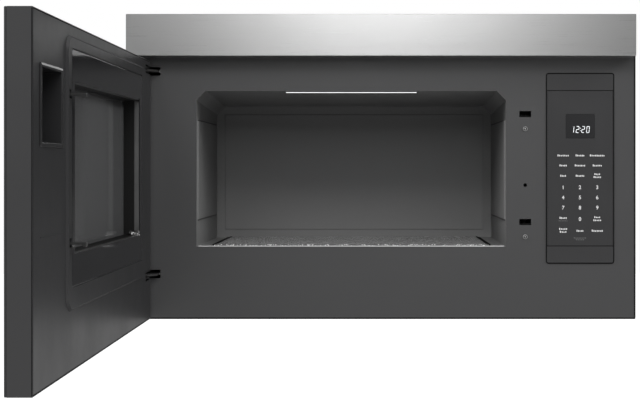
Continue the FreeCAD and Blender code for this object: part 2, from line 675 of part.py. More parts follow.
def make_cavity_liner():
    """A folded steel box, open to the front, with pressed panels and an open floor."""
    body = new_body("liner")
    back, front = "(body_depth-cavity_depth)", "(body_depth-frame_steel)"
    outer = [new_sketch(body, "XZ", f"{back}-liner_steel"), new_sketch(body, "XZ", front)]
    inner = [new_sketch(body, "XZ", back), new_sketch(body, "XZ", front)]
    for sketches, grow in ((outer, "liner_steel"), (inner, "0")):
        draw_outline(sketches[0], cavity_outline(grow, "ceiling_fall"))
        draw_outline(sketches[1], cavity_outline(grow))
    loft(body, "Additive", outer)
    doc.recompute()
    loft(body, "Subtractive", inner)
    doc.recompute()
    pressed = new_sketch(body, "XZ", back)
    draw_rectangle(pressed, f"cavity_left+emboss_margin", f"cavity_right-emboss_margin",
                   f"cavity_floor+emboss_margin", "cavity_top-ceiling_fall-emboss_margin")
    pad(body, pressed, "emboss_depth")
    for start in ("cavity_left", f"cavity_right-emboss_depth"):
        side = new_sketch(body, "YZ", start)
        draw_rectangle(side, "-body_depth+emboss_margin", f"-{back}-emboss_margin",
                       "cavity_floor+emboss_rise", "cavity_top-emboss_fall")
        pad(body, side, "emboss_depth")
    hole = new_sketch(body, "XY", "cavity_floor")
    draw_rectangle(hole, "cavity_middle-floor_half-seal_width-keypad_gap",
                   "cavity_middle+floor_half+seal_width+keypad_gap",
                   "-body_depth+floor_setback-keypad_gap", f"floor_back+keypad_gap")
    pocket(body, hole, "2*liner_steel")
    slot = new_sketch(body, "XY", "cavity_top+light_height")
    draw_rectangle(slot, *grown(light_span(), "keypad_gap"))
    pocket(body, slot, "2*light_height")
    keep(body, "cavity_liner")


def light_span():
    front = f"{FRAME_BACK}+2"
    return ("cavity_middle-light_length/2", "cavity_middle+light_length/2",
            front, f"{front}+light_depth")


def make_cavity_light():
    left, right, front, back = light_span()
    low = "cavity_top-light_drop"
    bar = block("light_bar", (left, right), (front, back), (low, f"{low}+light_height"))
    head = block("light_head", (f"({left})-5", f"({right})+5"), (front, f"({back})+6"),
                 ("cavity_top+liner_steel", f"{low}+light_height"))
    keep(join("light", [bar, head]), "cavity_light_bar")


def make_floor_plate():
    plate = block("plate", ("cavity_middle-floor_half", "cavity_middle+floor_half"),
                  ("-body_depth+floor_setback", "floor_back"), ("rim_top", f"rim_top+floor_thick"))
    keep(plate, "floor_plate")


def make_floor_seals():
    seals = []
    for side in ("-1", "1"):
        near = f"cavity_middle+{side}*floor_half"
        far = f"{near}+{side}*seal_width"
        across = (far, near) if side == "-1" else (near, far)
        seals.append(block("seal", across, ("-body_depth+floor_setback+6", f"floor_back-6"),
                           ("rim_top", f"rim_top+floor_thick-0.4")))
    keep(group("seals", seals), "floor_seals")


def make_stirrer_pan():
    """A shallow tray under the floor plate; its rim carries the plate and the liner."""
    body = new_body("pan")
    half = "(floor_half+pan_ledge)"
    rim = new_sketch(body, "XY", f"rim_top-casing_steel")
    draw_rectangle(rim, f"cavity_middle-{half}", f"cavity_middle+{half}",
                   "-body_depth+floor_setback-pan_ledge", f"floor_back+pan_ledge")
    pad(body, rim, "casing_steel")
    tray = new_sketch(body, "XY", "guide_top")
    inset = "(floor_half-pan_ledge)"
    near, far = "-body_depth+floor_setback+pan_ledge", f"floor_back-pan_ledge"
    draw_rectangle(tray, f"cavity_middle-{inset}", f"cavity_middle+{inset}", near, far)
    pad(body, tray, "pan_depth")
    hollow = new_sketch(body, "XY", "rim_top")
    draw_rectangle(hollow, f"cavity_middle-{inset}+casing_steel",
                   f"cavity_middle+{inset}-casing_steel",
                   f"{near}+casing_steel", f"{far}-casing_steel")
    pocket(body, hollow, "pan_depth")
    well = new_sketch(body, "XY", "rim_top")
    draw_circle(well, "cavity_middle", "stirrer_y", "4*stirrer_shaft_radius")
    pocket(body, well, "pan_depth+2*casing_steel")
    keep(body, "stirrer_pan")


def make_stirrer():
    """Three metal blades on a shaft that rises through the waveguide."""
    body = new_body("stirrer")
    disc = new_sketch(body, "XY", f"rim_top-pan_depth/2")
    draw_circle(disc, "cavity_middle", "stirrer_y", "stirrer_radius*0.3")
    pad(body, disc, "1.5")
    for turn in range(3):
        angle = math.radians(30 + 120 * turn)
        along, across = (math.cos(angle), math.sin(angle)), (-math.sin(angle), math.cos(angle))
        blade = new_sketch(body, "XY", f"rim_top-pan_depth/2")
        corners = []
        for reach, width in ((0.2, -0.14), (1, -0.3), (1, 0.3), (0.2, 0.14)):
            over = reach * along[0] + width * across[0]
            up = reach * along[1] + width * across[1]
            corners.append((f"cavity_middle+stirrer_radius*({over:.5f})*0.95",
                            f"stirrer_y+stirrer_radius*({up:.5f})*0.95"))
        draw_outline(blade, corners)
        pad(body, blade, "1.5")
    shaft = new_sketch(body, "XY", f"guide_low-casing_steel+side_gap")
    draw_circle(shaft, "cavity_middle", "stirrer_y", "stirrer_shaft_radius")
    pad(body, shaft, f"(rim_top-pan_depth/2)-(guide_low-casing_steel+side_gap)+1.5")
    keep(body, "stirrer")


def make_stirrer_motor():
    top = f"guide_low-casing_steel"
    can = rod("motor_can", "z", "stirrer_motor_radius",
              ("cavity_middle", "stirrer_y", f"{top}-stirrer_motor_height"),
              "stirrer_motor_height")
    ears = block("motor_ears", ("cavity_middle-stirrer_motor_radius-9",
                                "cavity_middle+stirrer_motor_radius+9"),
                 (f"stirrer_y-6", f"stirrer_y+6"), (f"{top}-1.5", top))
    plug = block("motor_plug", ("cavity_middle-8", "cavity_middle+8"),
                 (f"stirrer_y+stirrer_motor_radius-2", f"stirrer_y+stirrer_motor_radius+8"),
                 (f"{top}-10", f"{top}-2"))
    keep(join("motor", [can, ears, plug]), "stirrer_motor")


def make_waveguide():
    """A closed steel channel from the magnetron to the stirrer's well."""
    half = "waveguide_width/2"
    front, back = f"stirrer_y-{half}", f"stirrer_y+{half}"
    left = "cavity_middle-waveguide_width/2"
    steel = "casing_steel"
    outer = block("guide_outer", (left, "guide_end"), (front, back),
                  (f"guide_low-{steel}", "guide_top"))
    inner = block("guide_inner", (f"{left}+{steel}", f"guide_end-{steel}"),
                  (f"{front}+{steel}", f"{back}-{steel}"), ("guide_low", f"guide_top-{steel}"))
    well = rod("guide_well", "z", "4*stirrer_shaft_radius",
               ("cavity_middle", "stirrer_y", f"guide_top-2*{steel}"), f"4*{steel}")
    bearing = rod("guide_bearing", "z", "stirrer_shaft_radius+running_gap",
                  ("cavity_middle", "stirrer_y", f"guide_low-2*{steel}"), f"4*{steel}")
    feed = rod("guide_feed", "z", "13", ("magnetron_x", "stirrer_y", f"guide_top-2*{steel}"),
               f"4*{steel}")
    keep(cut("guide", outer, [inner, well, bearing, feed]), "waveguide")


# ---------------------------------------------------------------- the controls


def make_control_bezel():
    """The bezel laps over the frame's cut-out and is a shallow box behind it."""
    body = new_body("bezel")
    face = new_sketch(body, "XZ", "body_depth")
    draw_rounded(face, "panel_left", "panel_right", "panel_low", "panel_top", "panel_corner")
    pad(body, face, "panel_proud")
    box = new_sketch(body, "XZ", "board_front")
    inset = "(panel_lap+keypad_gap)"
    draw_rectangle(box, f"panel_left+{inset}", f"panel_right-{inset}",
                   f"panel_low+{inset}", f"panel_top-{inset}")
    pad(body, box, "panel_box")
    hollow = new_sketch(body, "XZ", "body_depth+panel_proud-keypad_thick-panel_wall")
    wall = "(panel_lap+keypad_gap+panel_wall)"
    draw_rectangle(hollow, f"panel_left+{wall}", f"panel_right-{wall}",
                   f"panel_low+{wall}", f"panel_top-{wall}")
    pocket(body, hollow, "panel_box")
    recess = new_sketch(body, "XZ", "body_depth+panel_proud")
    draw_rectangle(recess, f"panel_left+keypad_inset", f"panel_right-keypad_inset",
                   "keypad_low", "keypad_top")
    pocket(body, recess, "keypad_thick")
    sight = new_sketch(body, "XZ", "body_depth+panel_proud")
    draw_rectangle(sight, "window_left+2", "window_right-2", "window_low+2", "window_top-2")
    pocket(body, sight, "panel_box")
    keep(body, "control_bezel")


def make_keypad():
    """The touch sheet has no travelling keys."""
    window = grown(("window_left", "window_right", "window_low", "window_top"), "keypad_gap")
    outline = (f"panel_left+keypad_inset+keypad_gap", f"panel_right-keypad_inset-keypad_gap",
               "keypad_low+keypad_gap", "keypad_top-keypad_gap")
    front = "body_depth+panel_proud-keypad_thick"
    keep(rounded_plate("keypad", front, "keypad_thick", outline, "2", [window]), "keypad_panel")
    clock = ("window_left", "window_right", "window_low", "window_top")
    keep(rounded_plate("clock_glass", front, "keypad_thick+0.3", clock, "1.5"), "display_window")


def make_control_board():
    wall = "(panel_lap+keypad_gap)"
    back = f"-(board_front)+board_thick"
    board = block("board", (f"panel_left+{wall}", f"panel_right-{wall}"),
                  (f"-(board_front)", back), ("panel_low+panel_lap+8", "panel_top-panel_lap-8"))
    clock_face = "-body_depth-panel_proud+keypad_thick+panel_wall"
    clock = block("clock_module", ("window_left-3", "window_right+3"),
                  (clock_face, f"-(board_front)"), ("window_low-3", "window_top+3"))
    parts = [board, clock]
    # relays, a small transformer and connectors, each as shares of the panel's width
    for left, low, width, height, tall in ((0.12, 0.2, 0.2, 0.26, 0.18), (0.12, 0.52, 0.2, 0.26, 0.18),
                                           (0.12, 0.84, 0.2, 0.26, 0.18), (0.48, 0.3, 0.3, 0.36, 0.24),
                                           (0.5, 0.9, 0.22, 0.12, 0.1), (0.2, 1.5, 0.5, 0.1, 0.12),
                                           (0.2, 1.9, 0.14, 0.14, 0.03), (0.56, 2.14, 0.12, 0.12, 0.16)):
        across, up = f"panel_left+{left}*panel_width", f"panel_low+{low}*panel_width"
        parts.append(block("board_part", (across, f"{across}+{width}*panel_width"),
                           (back, f"{back}+{tall}*panel_width"),
                           (up, f"{up}+{height}*panel_width")))
    keep(join("boards", parts), "control_board")


# ---------------------------------------------------------------- the latch's catches


def make_latch_board():
    """A moulded plate behind the frame: a ledge for each hook, and seats for the switches."""
    back = FRAME_BACK
    plate = block("latch_plate", ("hook_x-0.8*latch_slot_width", "hook_x+0.9*latch_slot_width"),
                  (back, f"{back}+shelf_thick"),
                  ("lower_screw_z-0.5*screw_drop", "upper_hook_z+0.6*screw_drop"))
    added, holes = [], []
    across = ("hook_x-hook_width", "hook_x+hook_width")
    for _, height in HOOKS:
        holes.append(block("hook_window",
                           ("hook_x-latch_slot_width/2", "hook_x+latch_slot_width/2"),
                           (f"{back}-casing_steel", f"{back}+2*shelf_thick"),
                           (f"{height}-latch_slot_height/2", f"{height}+latch_slot_height/2")))
        top = f"{height}-hook_nose/2"
        added.append(block("ledge", across, (f"{back}+shelf_thick", "ledge_back"),
                           (f"{top}-ledge_height", top)))
        seat = f"{height}-0.63*switch_height"
        added.append(block("shelf", across, (f"{back}+shelf_thick", "switch_front+switch_depth"),
                           (f"{seat}-shelf_thick", seat)))
    for height in ("upper_screw_z", "lower_screw_z"):
        holes.append(rod("screw_hole", "y", "screw_radius+running_gap",
                         ("hook_x", f"{back}-casing_steel", height), "3*shelf_thick"))
    holes.append(rod("sensor_window", "y", "sensor_hole+shelf_thick",
                     ("hook_x", f"{back}-casing_steel", "sensor_z"), "3*shelf_thick"))
    plate = cut("latch_plate_cut", plate, holes)
    keep(join("latch_mould", [plate, *added]), "latch_board")


def make_switches():
    """Three small switches; a plunger runs in a bore in each."""
    cases = []
    for name, height, across in SWITCHES:
        foot = f"{height}-0.63*switch_height"
        plunger_z = f"{height}-hook_lift/2+running_gap*2"
        case = block("switch_case", (f"{across}-switch_width/2", f"{across}+switch_width/2"),
                     ("switch_front", "switch_front+switch_depth"),
                     (foot, f"{foot}+switch_height"))
        lugs = block("switch_lugs", (f"{across}-switch_width/4", f"{across}+switch_width/4"),
                     ("switch_front+switch_depth", "switch_front+1.3*switch_depth"),
                     (f"{foot}+shelf_thick", f"{foot}+switch_height-shelf_thick"))
        bore = rod("switch_bore", "y", "plunger_radius+running_gap",
                   (across, "switch_front-casing_steel", plunger_z), "plunger_seat+casing_steel")
        cases.append(join("switch", [cut("switch_bored", case, [bore]), lugs]))
        plunger = rod(f"{name}_pin", "y", "plunger_radius", (across, "plunger_front", plunger_z),
                      "plunger_out+plunger_seat-plunger_travel-side_gap")
        keep(plunger, f"{name}_switch_plunger")
    keep(group("switches", cases), "door_switches")


# ---------------------------------------------------------------- the hinges


def arm_outline():
    """A hinge arm's edge seen from above, drawn round its eye at the pin."""
    x, y = "hinge_x", "hinge_y"
    near = "hinge_slot_inset+1.5"
    far = "hinge_slot_inset+hinge_slot_width-3"
    points = [("-hinge_eye", "0"), ("-hinge_eye*0.7", "hinge_eye"), (near, "hinge_out-10"),
              (near, "hinge_out+20"), (far, "hinge_out+20"), (far, "14"),
              ("18", "-hinge_eye"), ("0", "-hinge_eye")]
    return [(f"{x}+{across}", f"{y}+{along}") for across, along in points]


def make_hinge_arms():
    """An arm of thick steel reaches out of each slot to its pin."""
    arms = []
    for name, height in HINGES:
        body = new_body(f"{name}_arm")
        edge = new_sketch(body, "XY", f"{height}-hinge_plate/2")
        draw_outline(edge, arm_outline())
        pad(body, edge, "hinge_plate")
        eye = new_sketch(body, "XY", f"{height}-hinge_plate/2")
        draw_circle(eye, "hinge_x", "hinge_y", "hinge_eye")
        pad(body, eye, "hinge_plate")
        bore = new_sketch(body, "XY", f"{height}+hinge_plate/2")
        draw_circle(bore, "hinge_x", "hinge_y", "hinge_pin+running_gap")
        pocket(body, bore, "hinge_plate")
        foot = new_sketch(body, "XZ", "body_depth-frame_steel-hinge_plate")
        draw_rectangle(foot, f"{INNER_LEFT}+flange_width+side_gap",
                       "slot_right+flange_width", f"{height}-foot_height/2",
                       f"{height}+foot_height/2")
        pad(body, foot, "hinge_plate")
        mouth = new_sketch(body, "XZ", "body_depth-frame_steel")
        half = "hinge_plate/2"
        for over, under in ((f"{height}+hinge_slot_height/2", f"{height}+{half}"),
                            (f"{height}-{half}", f"{height}-hinge_slot_height/2")):
            draw_rectangle(mouth, "slot_left+casing_steel", "slot_right-casing_steel",
                           under, over)
        pocket(body, mouth, "hinge_plate")
        arms.append(body)
    keep(group("hinge_arm_pair", arms), "hinge_arms")


def make_hinge_pins():
    pins = [rod("pin", "z", "hinge_pin", ("hinge_x", "hinge_y", f"{height}-pin_length/2"),
                "pin_length") for _, height in HINGES]
    keep(group("pin_pair", pins), "hinge_pins")


def make_door_hinge_plates():
    """Two ears on the door hold each pin, one above the arm and one below it."""
    near, far = "hinge_x-hinge_eye", "hinge_x+ear_reach"
    front, back = "hinge_y-hinge_eye", f"-(skin)-skin_thick"
    pairs = []
    for _, height in HINGES:
        gap = "(hinge_plate/2+side_gap)"
        web = (f"{height}-web_height/2", f"{height}+web_height/2")
        ears = [block("ear", (near, far), (front, back),
                      (f"{height}+{gap}", f"{height}+{gap}+ear_thick")),
                block("ear", (near, far), (front, back),
                      (f"{height}-{gap}-ear_thick", f"{height}-{gap}")),
                block("ear_web", (f"{far}-ear_thick", far), (front, back), web),
                block("ear_foot", (f"{far}-ear_thick", f"{far}+5*ear_thick"),
                      (f"{back}-ear_thick", back), web)]
        bore = rod("ear_bore", "z", "hinge_pin+running_gap",
                   ("hinge_x", "hinge_y", f"{height}-0.6*pin_length"), "1.2*pin_length")
        pairs.append(cut("ears", join("ears_solid", ears), [bore]))
    keep(group("door_ears", pairs), "door_hinge_plates", with_door=True)


# ---------------------------------------------------------------- the door


def hinge_notches(name, left, right, front, back):
    """Room in the door for the hinge arms, which stay on the body."""
    return [block(name, (left, right), (front, back),
                  (f"{height}-hinge_slot_height/2", f"{height}+hinge_slot_height/2"))
            for _, height in HINGES]


def make_door_outer_glass():
    outline = ("door_left", "door_right", "door_low", "door_top")
    keep(rounded_plate("outer_glass", "shell_back", "door_glass", outline, "2"),
         "door_outer_glass", with_door=True)


def make_door_shell():
    """The four side walls, slanted at the hinges, with a finger grip moulded into the lower one."""
    body = new_body("shell_ring")
    front, back = f"-(shell_back)", f"-(skin)"
    sides = new_sketch(body, "XY", "door_low")
    draw_outline(sides, [("door_left", front), ("door_right", front), ("door_right", back),
                         ("door_left+door_round", back), ("door_left", f"{back}-door_round")])
    pad(body, sides, "door_top-door_low")
    hollow = new_sketch(body, "XY", "door_top-door_wall")
    draw_outline(hollow, [("door_left+door_wall", f"{front}-1"),
                          ("door_right-door_wall", f"{front}-1"),
                          ("door_right-door_wall", f"{back}+1"),
                          ("door_left+door_round+door_wall*1.41", f"{back}+1"),
                          ("door_left+door_round+door_wall*1.41", back),
                          ("door_left+door_wall", f"{back}-door_round-door_wall*0.41")])
    pocket(body, hollow, "door_top-door_low-2*door_wall")
    middle = f"-(skin)-door_thick/2"
    near, far = f"{middle}-grip_width/2", f"{middle}+grip_width/2"
    high = "door_low+grip_depth"
    cup = block("grip_cup", ("grip_left-door_wall", "grip_right+door_wall"),
                (f"{near}-door_wall", f"{far}+door_wall"), ("door_low", f"{high}+door_wall"))
    room = block("grip_room", ("grip_left", "grip_right"), (near, far), ("door_low-1", high))
    notches = hinge_notches("shell_notch", "door_left-1",
                            "door_left+door_round+door_wall*1.41+1", front, f"{back}+1")
    solid = cut("shell_cut", join("shell_and_cup", [body, cup]), [room, *notches])
    keep(solid, "door_shell", with_door=True)


def make_door_inner_skin():
    """The flat sheet that faces the frame when the door is shut."""
    inset = "(door_wall+side_gap/2)"
    body = new_body("skin")
    face = new_sketch(body, "XZ", "skin")
    draw_rectangle(face, "door_left+door_round+door_wall*1.41+side_gap/2",
                   f"door_right-{inset}", f"door_low+{inset}", f"door_top-{inset}")
    draw_rounded(face, *grown(PAD_SPAN, "-pad_lap"), "pad_round-pad_lap")
    draw_rectangle(face, *grown(WELL_SPAN, "-well_lap"))
    pad(body, face, "skin_thick")
    notches = hinge_notches("skin_notch", "door_left", "slot_right+3",
                            f"-(skin)-3", f"-(skin)+3")
    keep(cut("skin_cut", body, notches), "door_inner_skin", with_door=True)


def make_door_pad():
    """The raised cover over the choke: sloping edges, a recess and a window opening."""
    body = new_body("pad")
    foot = new_sketch(body, "XZ", f"skin-pad_proud")
    draw_rounded(foot, *grown(PAD_SPAN, "-pad_bevel"), "pad_round-pad_bevel")
    base = new_sketch(body, "XZ", "skin")
    draw_rounded(base, *PAD_SPAN, "pad_round")
    loft(body, "Additive", [foot, base])
    doc.recompute()
    plug = new_sketch(body, "XZ", "skin")
    draw_rounded(plug, *grown(PAD_SPAN, "-pad_lap-side_gap"), "pad_round-pad_lap-side_gap")
    pad(body, plug, "skin_thick+1")
    room = new_sketch(body, "XZ", f"skin-pad_proud+surround_thick")
    draw_rounded(room, "surround_left-surround_gap", "surround_right+surround_gap",
                 "surround_low-surround_gap", "surround_top+surround_gap", "5")
    pocket(body, room, "surround_thick+1")
    sight = new_sketch(body, "XZ", f"skin+skin_thick+1")
    draw_rectangle(sight, *sight_span("reveal_wall+keypad_gap"))
    pocket(body, sight, "pad_proud+skin_thick+1")
    for _, height in HOOKS:
        slot = new_sketch(body, "XZ", f"skin+skin_thick+1")
        draw_rectangle(slot, "hook_x-hook_width/2-2*side_gap", "hook_x+hook_width/2+2*side_gap",
                       f"{height}-4.8", f"{height}+5")
        pocket(body, slot, "pad_proud+skin_thick+1")
    keep(body, "door_pad", with_door=True)


def sight_span(grow):
    return grown(("sight_left", "sight_right", "sight_low", "sight_top"), grow)


def make_window_surround():
    outline = ("surround_left", "surround_right", "surround_low", "surround_top")
    body = new_body("surround")
    face = new_sketch(body, "XZ", f"skin-pad_proud")
    draw_rounded(face, *outline, "4")
    draw_rounded(face, *sight_span("0"), "2")
    pad(body, face, "surround_thick")
    keep(body, "window_surround", with_door=True)


def make_window_reveal():
    """The pale ring just behind the surround's opening."""
    body = new_body("reveal")
    ring = new_sketch(body, "XZ", f"skin-pad_proud+surround_thick")
    draw_rectangle(ring, *sight_span("reveal_wall"))
    draw_rectangle(ring, *sight_span("0"))
    pad(body, ring, "reveal_depth-surround_thick")
    keep(body, "window_reveal", with_door=True)


def make_door_pan():
    """The choke pan: a walled tray round the window, pressed from one sheet."""
    body = new_body("choke")
    steel = "choke_steel"
    span = ("choke_left", "choke_right", "choke_low", "choke_top")
    tray = new_sketch(body, "XZ", f"skin+skin_thick+1")
    draw_rectangle(tray, *span)
    draw_rectangle(tray, *grown(span, f"-{steel}"))
    pad(body, tray, f"screen_depth+screen_thick-skin_thick-1")
    floor = new_sketch(body, "XZ", f"skin+screen_depth+screen_thick")
    draw_rectangle(floor, *grown(span, "5"))
    draw_rectangle(floor, *sight_span("-6"))
    pad(body, floor, steel)
    tunnel = new_sketch(body, "XZ", f"skin-pad_proud+reveal_depth")
    draw_rectangle(tunnel, *sight_span(steel))
    draw_rectangle(tunnel, *sight_span("0"))
    pad(body, tunnel, f"pad_proud-reveal_depth+screen_depth+screen_thick")
    keep(body, "door_pan", with_door=True)


def make_window_panes():
    """A clear pane, and the perforated screen that it lies on."""
    for label, start, thick in (("door_inner_glass", f"skin+screen_depth-inner_glass_thick",
                                 "inner_glass_thick"),
                                ("door_screen", f"skin+screen_depth", "screen_thick")):
        body = sheet_metal(f"{label}_sheet", "XZ", start, thick, sight_span("-0.2"))
        keep(body, label, with_door=True)


def make_display_well():
    """A framed tube through the door, so that the clock shows when the door is shut."""
    body = new_body("well")
    rim = new_sketch(body, "XZ", f"skin-well_proud")
    draw_rounded(rim, *WELL_SPAN, "2")
    pad(body, rim, "well_proud")
    tube = new_sketch(body, "XZ", "skin")
    inside = ("well_left+well_side", "well_right-well_side", "well_low+well_rim",
              "well_top-well_rim")
    draw_rectangle(tube, *grown(inside, "well_wall"))
    pad(body, tube, "door_thick-door_glass")
    hole = new_sketch(body, "XZ", "shell_back")
    draw_rectangle(hole, *inside)
    pocket(body, hole, "door_thick+well_proud")
    keep(body, "display_well", with_door=True)


def make_latch():
    """One bar with two hooks slides up in the door; a spring draws it down."""
    across = ("hook_x-hook_width/2", "hook_x+hook_width/2")
    parts = [block("latch_bar", across, ("bar_front", "bar_back"),
                   ("lower_hook_z-14", "upper_hook_z+14"))]
    for _, height in HOOKS:
        parts.append(block("shank", across, (f"bar_back-1", "nose_tip"),
                           (f"{height}-1.9", f"{height}+1")))
        parts.append(block("nose", across, ("nose_front", "nose_tip"),
                           (f"{height}-4.2", f"{height}+1")))
    keep(join("latch_solid", parts), "latch_hooks", with_door=True)


def make_latch_guide():
    """The guide inside the door: a channel for the bar, and a shelf for its spring."""
    left, right = "hook_x-hook_width/2-side_gap", "hook_x+hook_width/2+side_gap"
    low, high = "lower_hook_z-14-side_gap-22", "upper_hook_z+14+hook_lift+side_gap"
    front, back = f"bar_front-side_gap", f"bar_back+2"
    span = (low, f"{high}+2")
    pieces = [block("guide_back", (f"{left}-2", f"{right}+2"), (f"{front}-2", front), span),
              block("guide_left", (f"{left}-2", left), (front, back), span),
              block("guide_right", (right, f"{right}+2"), (front, back), span),
              block("guide_cap", (left, right), (front, back), (high, f"{high}+2")),
              block("guide_shelf", (left, right), (front, back), (low, f"{low}+2"))]
    for at in (low, f"({low}+{high})/2", high):
        pieces.append(block("guide_rib", (left, right), (f"-(shell_back)", f"{front}-2"),
                            (at, f"{at}+2")))
    keep(join("latch_guide_solid", pieces), "latch_guide", with_door=True)


def make_latch_spring():
    """A drawn spring between the bar's foot and the guide's shelf."""
    low = number("lower_hook_z-14-side_gap-20")
    high = number("lower_hook_z-14")
    radius, wire, turns, end_gap = 2.8, 0.45, 8, 0.2
    height = high - low - 2 * wire - 2 * end_gap
    coil = Part.makeHelix(height / turns, height, radius - wire)
    start = coil.Edges[0].firstVertex().Point
    profile = Part.Wire(Part.makeCircle(wire, start, Y))
    pipe = Part.Wire(coil.Edges).makePipeShell([profile], True, True)
    spring = doc.addObject("Part::Feature", "spring")
    spring.Shape = pipe
    middle = number(f"(bar_back+bar_front)/2")
    spring.Placement.Base = FreeCAD.Vector(number("hook_x"), middle, low + wire + end_gap)
    keep(spring, "latch_spring", with_door=True)


# ---------------------------------------------------------------- power and cooling


def make_magnetron():
    """A finned anode between two magnet plates, with its aerial in the waveguide."""
    half, deep = "magnetron_width/2", "magnetron_depth/2"
    steel = "2*casing_steel"
    x = (f"magnetron_x-{half}", f"magnetron_x+{half}")
    y = (f"stirrer_y-{deep}", f"stirrer_y+{deep}")
    top = "guide_top+0.78*magnetron_height"
    parts = [block("magnet_foot", x, y, ("guide_top", f"guide_top+{steel}")),
             rod("aerial", "z", "aerial_radius",
                 ("magnetron_x", "stirrer_y", "guide_top-aerial_length"),
                 "aerial_length+casing_steel"),
             rod("anode", "z", "anode_radius", ("magnetron_x", "stirrer_y", "guide_top"),
                 "0.77*magnetron_height"),
             block("filter_box", (f"magnetron_x-0.52*{half}", f"magnetron_x+0.52*{half}"),
                   (f"stirrer_y-0.8*{deep}", f"stirrer_y+0.8*{deep}"),
                   (top, "guide_top+magnetron_height"))]
    for side in (x[0], f"{x[1]}-{steel}"):
        parts.append(block("magnet_side", (side, f"{side}+{steel}"), y,
                           (f"guide_top+{steel}", top)))
    parts.append(block("magnet_top", x, y, (f"{top}-{steel}", top)))
    count = int(number("fin_count"))
    for fin in range(count):
        at = f"guide_top+0.12*magnetron_height+{fin}*0.56*magnetron_height/{max(count - 1, 1)}"
        parts.append(block("fin", (f"{x[0]}+casing_steel", f"{x[1]}-casing_steel"),
                           (f"stirrer_y-0.9*{deep}", f"stirrer_y+0.9*{deep}"),
                           (at, f"{at}+0.8*casing_steel")))
    keep(join("magnetron_solid", parts), "magnetron")


def make_transformer():
    right = "transformer_right"
    left = f"{right}-transformer_width"
    back = "-transformer_back"
    front = f"{back}-transformer_depth"
    parts = [block("core", (left, right), (f"{front}+18", f"{back}-18"),
                   (f"{INNER_LOW}+2", f"{INNER_LOW}+transformer_height")),
             block("windings", (f"{left}+12", f"{right}-12"), (front, back),
                   (f"{INNER_LOW}+14", f"{INNER_LOW}+transformer_height-12")),
             block("core_foot", (f"{left}-8", f"{right}+3"), (f"{front}+12", f"{back}-12"),
                   (INNER_LOW, f"{INNER_LOW}+2"))]
    keep(join("transformer_solid", parts), "high_voltage_transformer")


def make_capacitor():
    centre = "capacitor_x"
    near = "capacitor_y"
    low = f"{INNER_LOW}"
    parts = [rod("can", "z", "capacitor_radius*0.7", (f"{centre}-capacitor_radius*0.6", near, low),
                 "capacitor_height"),
             rod("can", "z", "capacitor_radius*0.7", (f"{centre}+capacitor_radius*0.6", near, low),
                 "capacitor_height"),
             block("can_middle", (f"{centre}-capacitor_radius*0.6", f"{centre}+capacitor_radius*0.6"),
                   (f"{near}-capacitor_radius*0.7", f"{near}+capacitor_radius*0.7"),
                   (low, f"{low}+capacitor_height"))]
    for side in ("-", "+"):
        parts.append(block("terminal", (f"{centre}{side}12-3", f"{centre}{side}12+3"),
                           (f"{near}-0.6", f"{near}+0.6"),
                           (f"{low}+capacitor_height-1", f"{low}+capacitor_height+9")))
    keep(join("capacitor_solid", parts), "high_voltage_capacitor")


def make_diode():
    """The diode stands on a lug beside the capacitor, bolted to the base."""
    at = ("capacitor_x", "capacitor_y-capacitor_radius-15")
    lug = block("diode_lug", (f"{at[0]}-6", f"{at[0]}+6"), (f"{at[1]}-5", f"{at[1]}+12"),
                (INNER_LOW, f"{INNER_LOW}+1.2"))
    stem = rod("diode_stem", "z", "1", (at[0], at[1], f"{INNER_LOW}+1"), "10")
    case = rod("diode_case", "z", "4", (at[0], at[1], f"{INNER_LOW}+8"), "22")
    keep(join("diode_solid", [lug, stem, case]), "high_voltage_diode")


def make_fan_bracket():
    """The cooling fan's plate spans the compartment; its arms carry the motor."""
    body = new_body("fan_plate")
    sketch = new_sketch(body, "XZ", "fan_back")
    draw_rectangle(sketch, "cavity_right+liner_steel+2*fan_tip_gap", INNER_RIGHT,
                   "fan_z-fan_radius-4*fan_tip_gap", "fan_z+fan_radius+4*fan_tip_gap")
    draw_circle(sketch, "fan_x", "fan_z", "fan_radius+fan_tip_gap")
    pad(body, sketch, "bracket_steel")
    bars = []
    for side in ("-", "+"):
        height = f"fan_z{side}0.4*fan_motor_width"
        bars.append(block("fan_bar", ("fan_x-fan_radius-4*fan_tip_gap",
                                      "fan_x+fan_radius+4*fan_tip_gap"),
                          ("-fan_back", "-fan_back+bracket_steel"),
                          (f"{height}-fan_motor_width/10", f"{height}+fan_motor_width/10")))
    keep(join("fan_bracket_solid", [body, *bars]), "cooling_fan_bracket")


def make_fan_motor():
    front = "-fan_back+bracket_steel"
    half = "fan_motor_width/2"
    core = block("fan_core", (f"fan_x-{half}", f"fan_x+{half}"),
                 (front, f"{front}+fan_motor_depth"), (f"fan_z-{half}", f"fan_z+{half}"))
    coil = block("fan_coil", (f"fan_x-0.7*{half}", f"fan_x+0.7*{half}"),
                 (f"{front}+0.1*fan_motor_depth", f"{front}+0.9*fan_motor_depth"),
                 (f"fan_z-1.4*{half}", f"fan_z-{half}"))
    nose = rod("fan_nose", "y", "3*shaft_radius", ("fan_x", f"{front}-shaft_radius", "fan_z"),
               "shaft_radius")
    bore = rod("fan_motor_bore", "y", "shaft_radius+running_gap",
               ("fan_x", f"{front}-2*shaft_radius", "fan_z"),
               "2*shaft_radius+0.8*fan_motor_depth")
    keep(cut("fan_motor_solid", join("fan_motor_block", [core, coil, nose]), [bore]),
         "cooling_fan_motor")


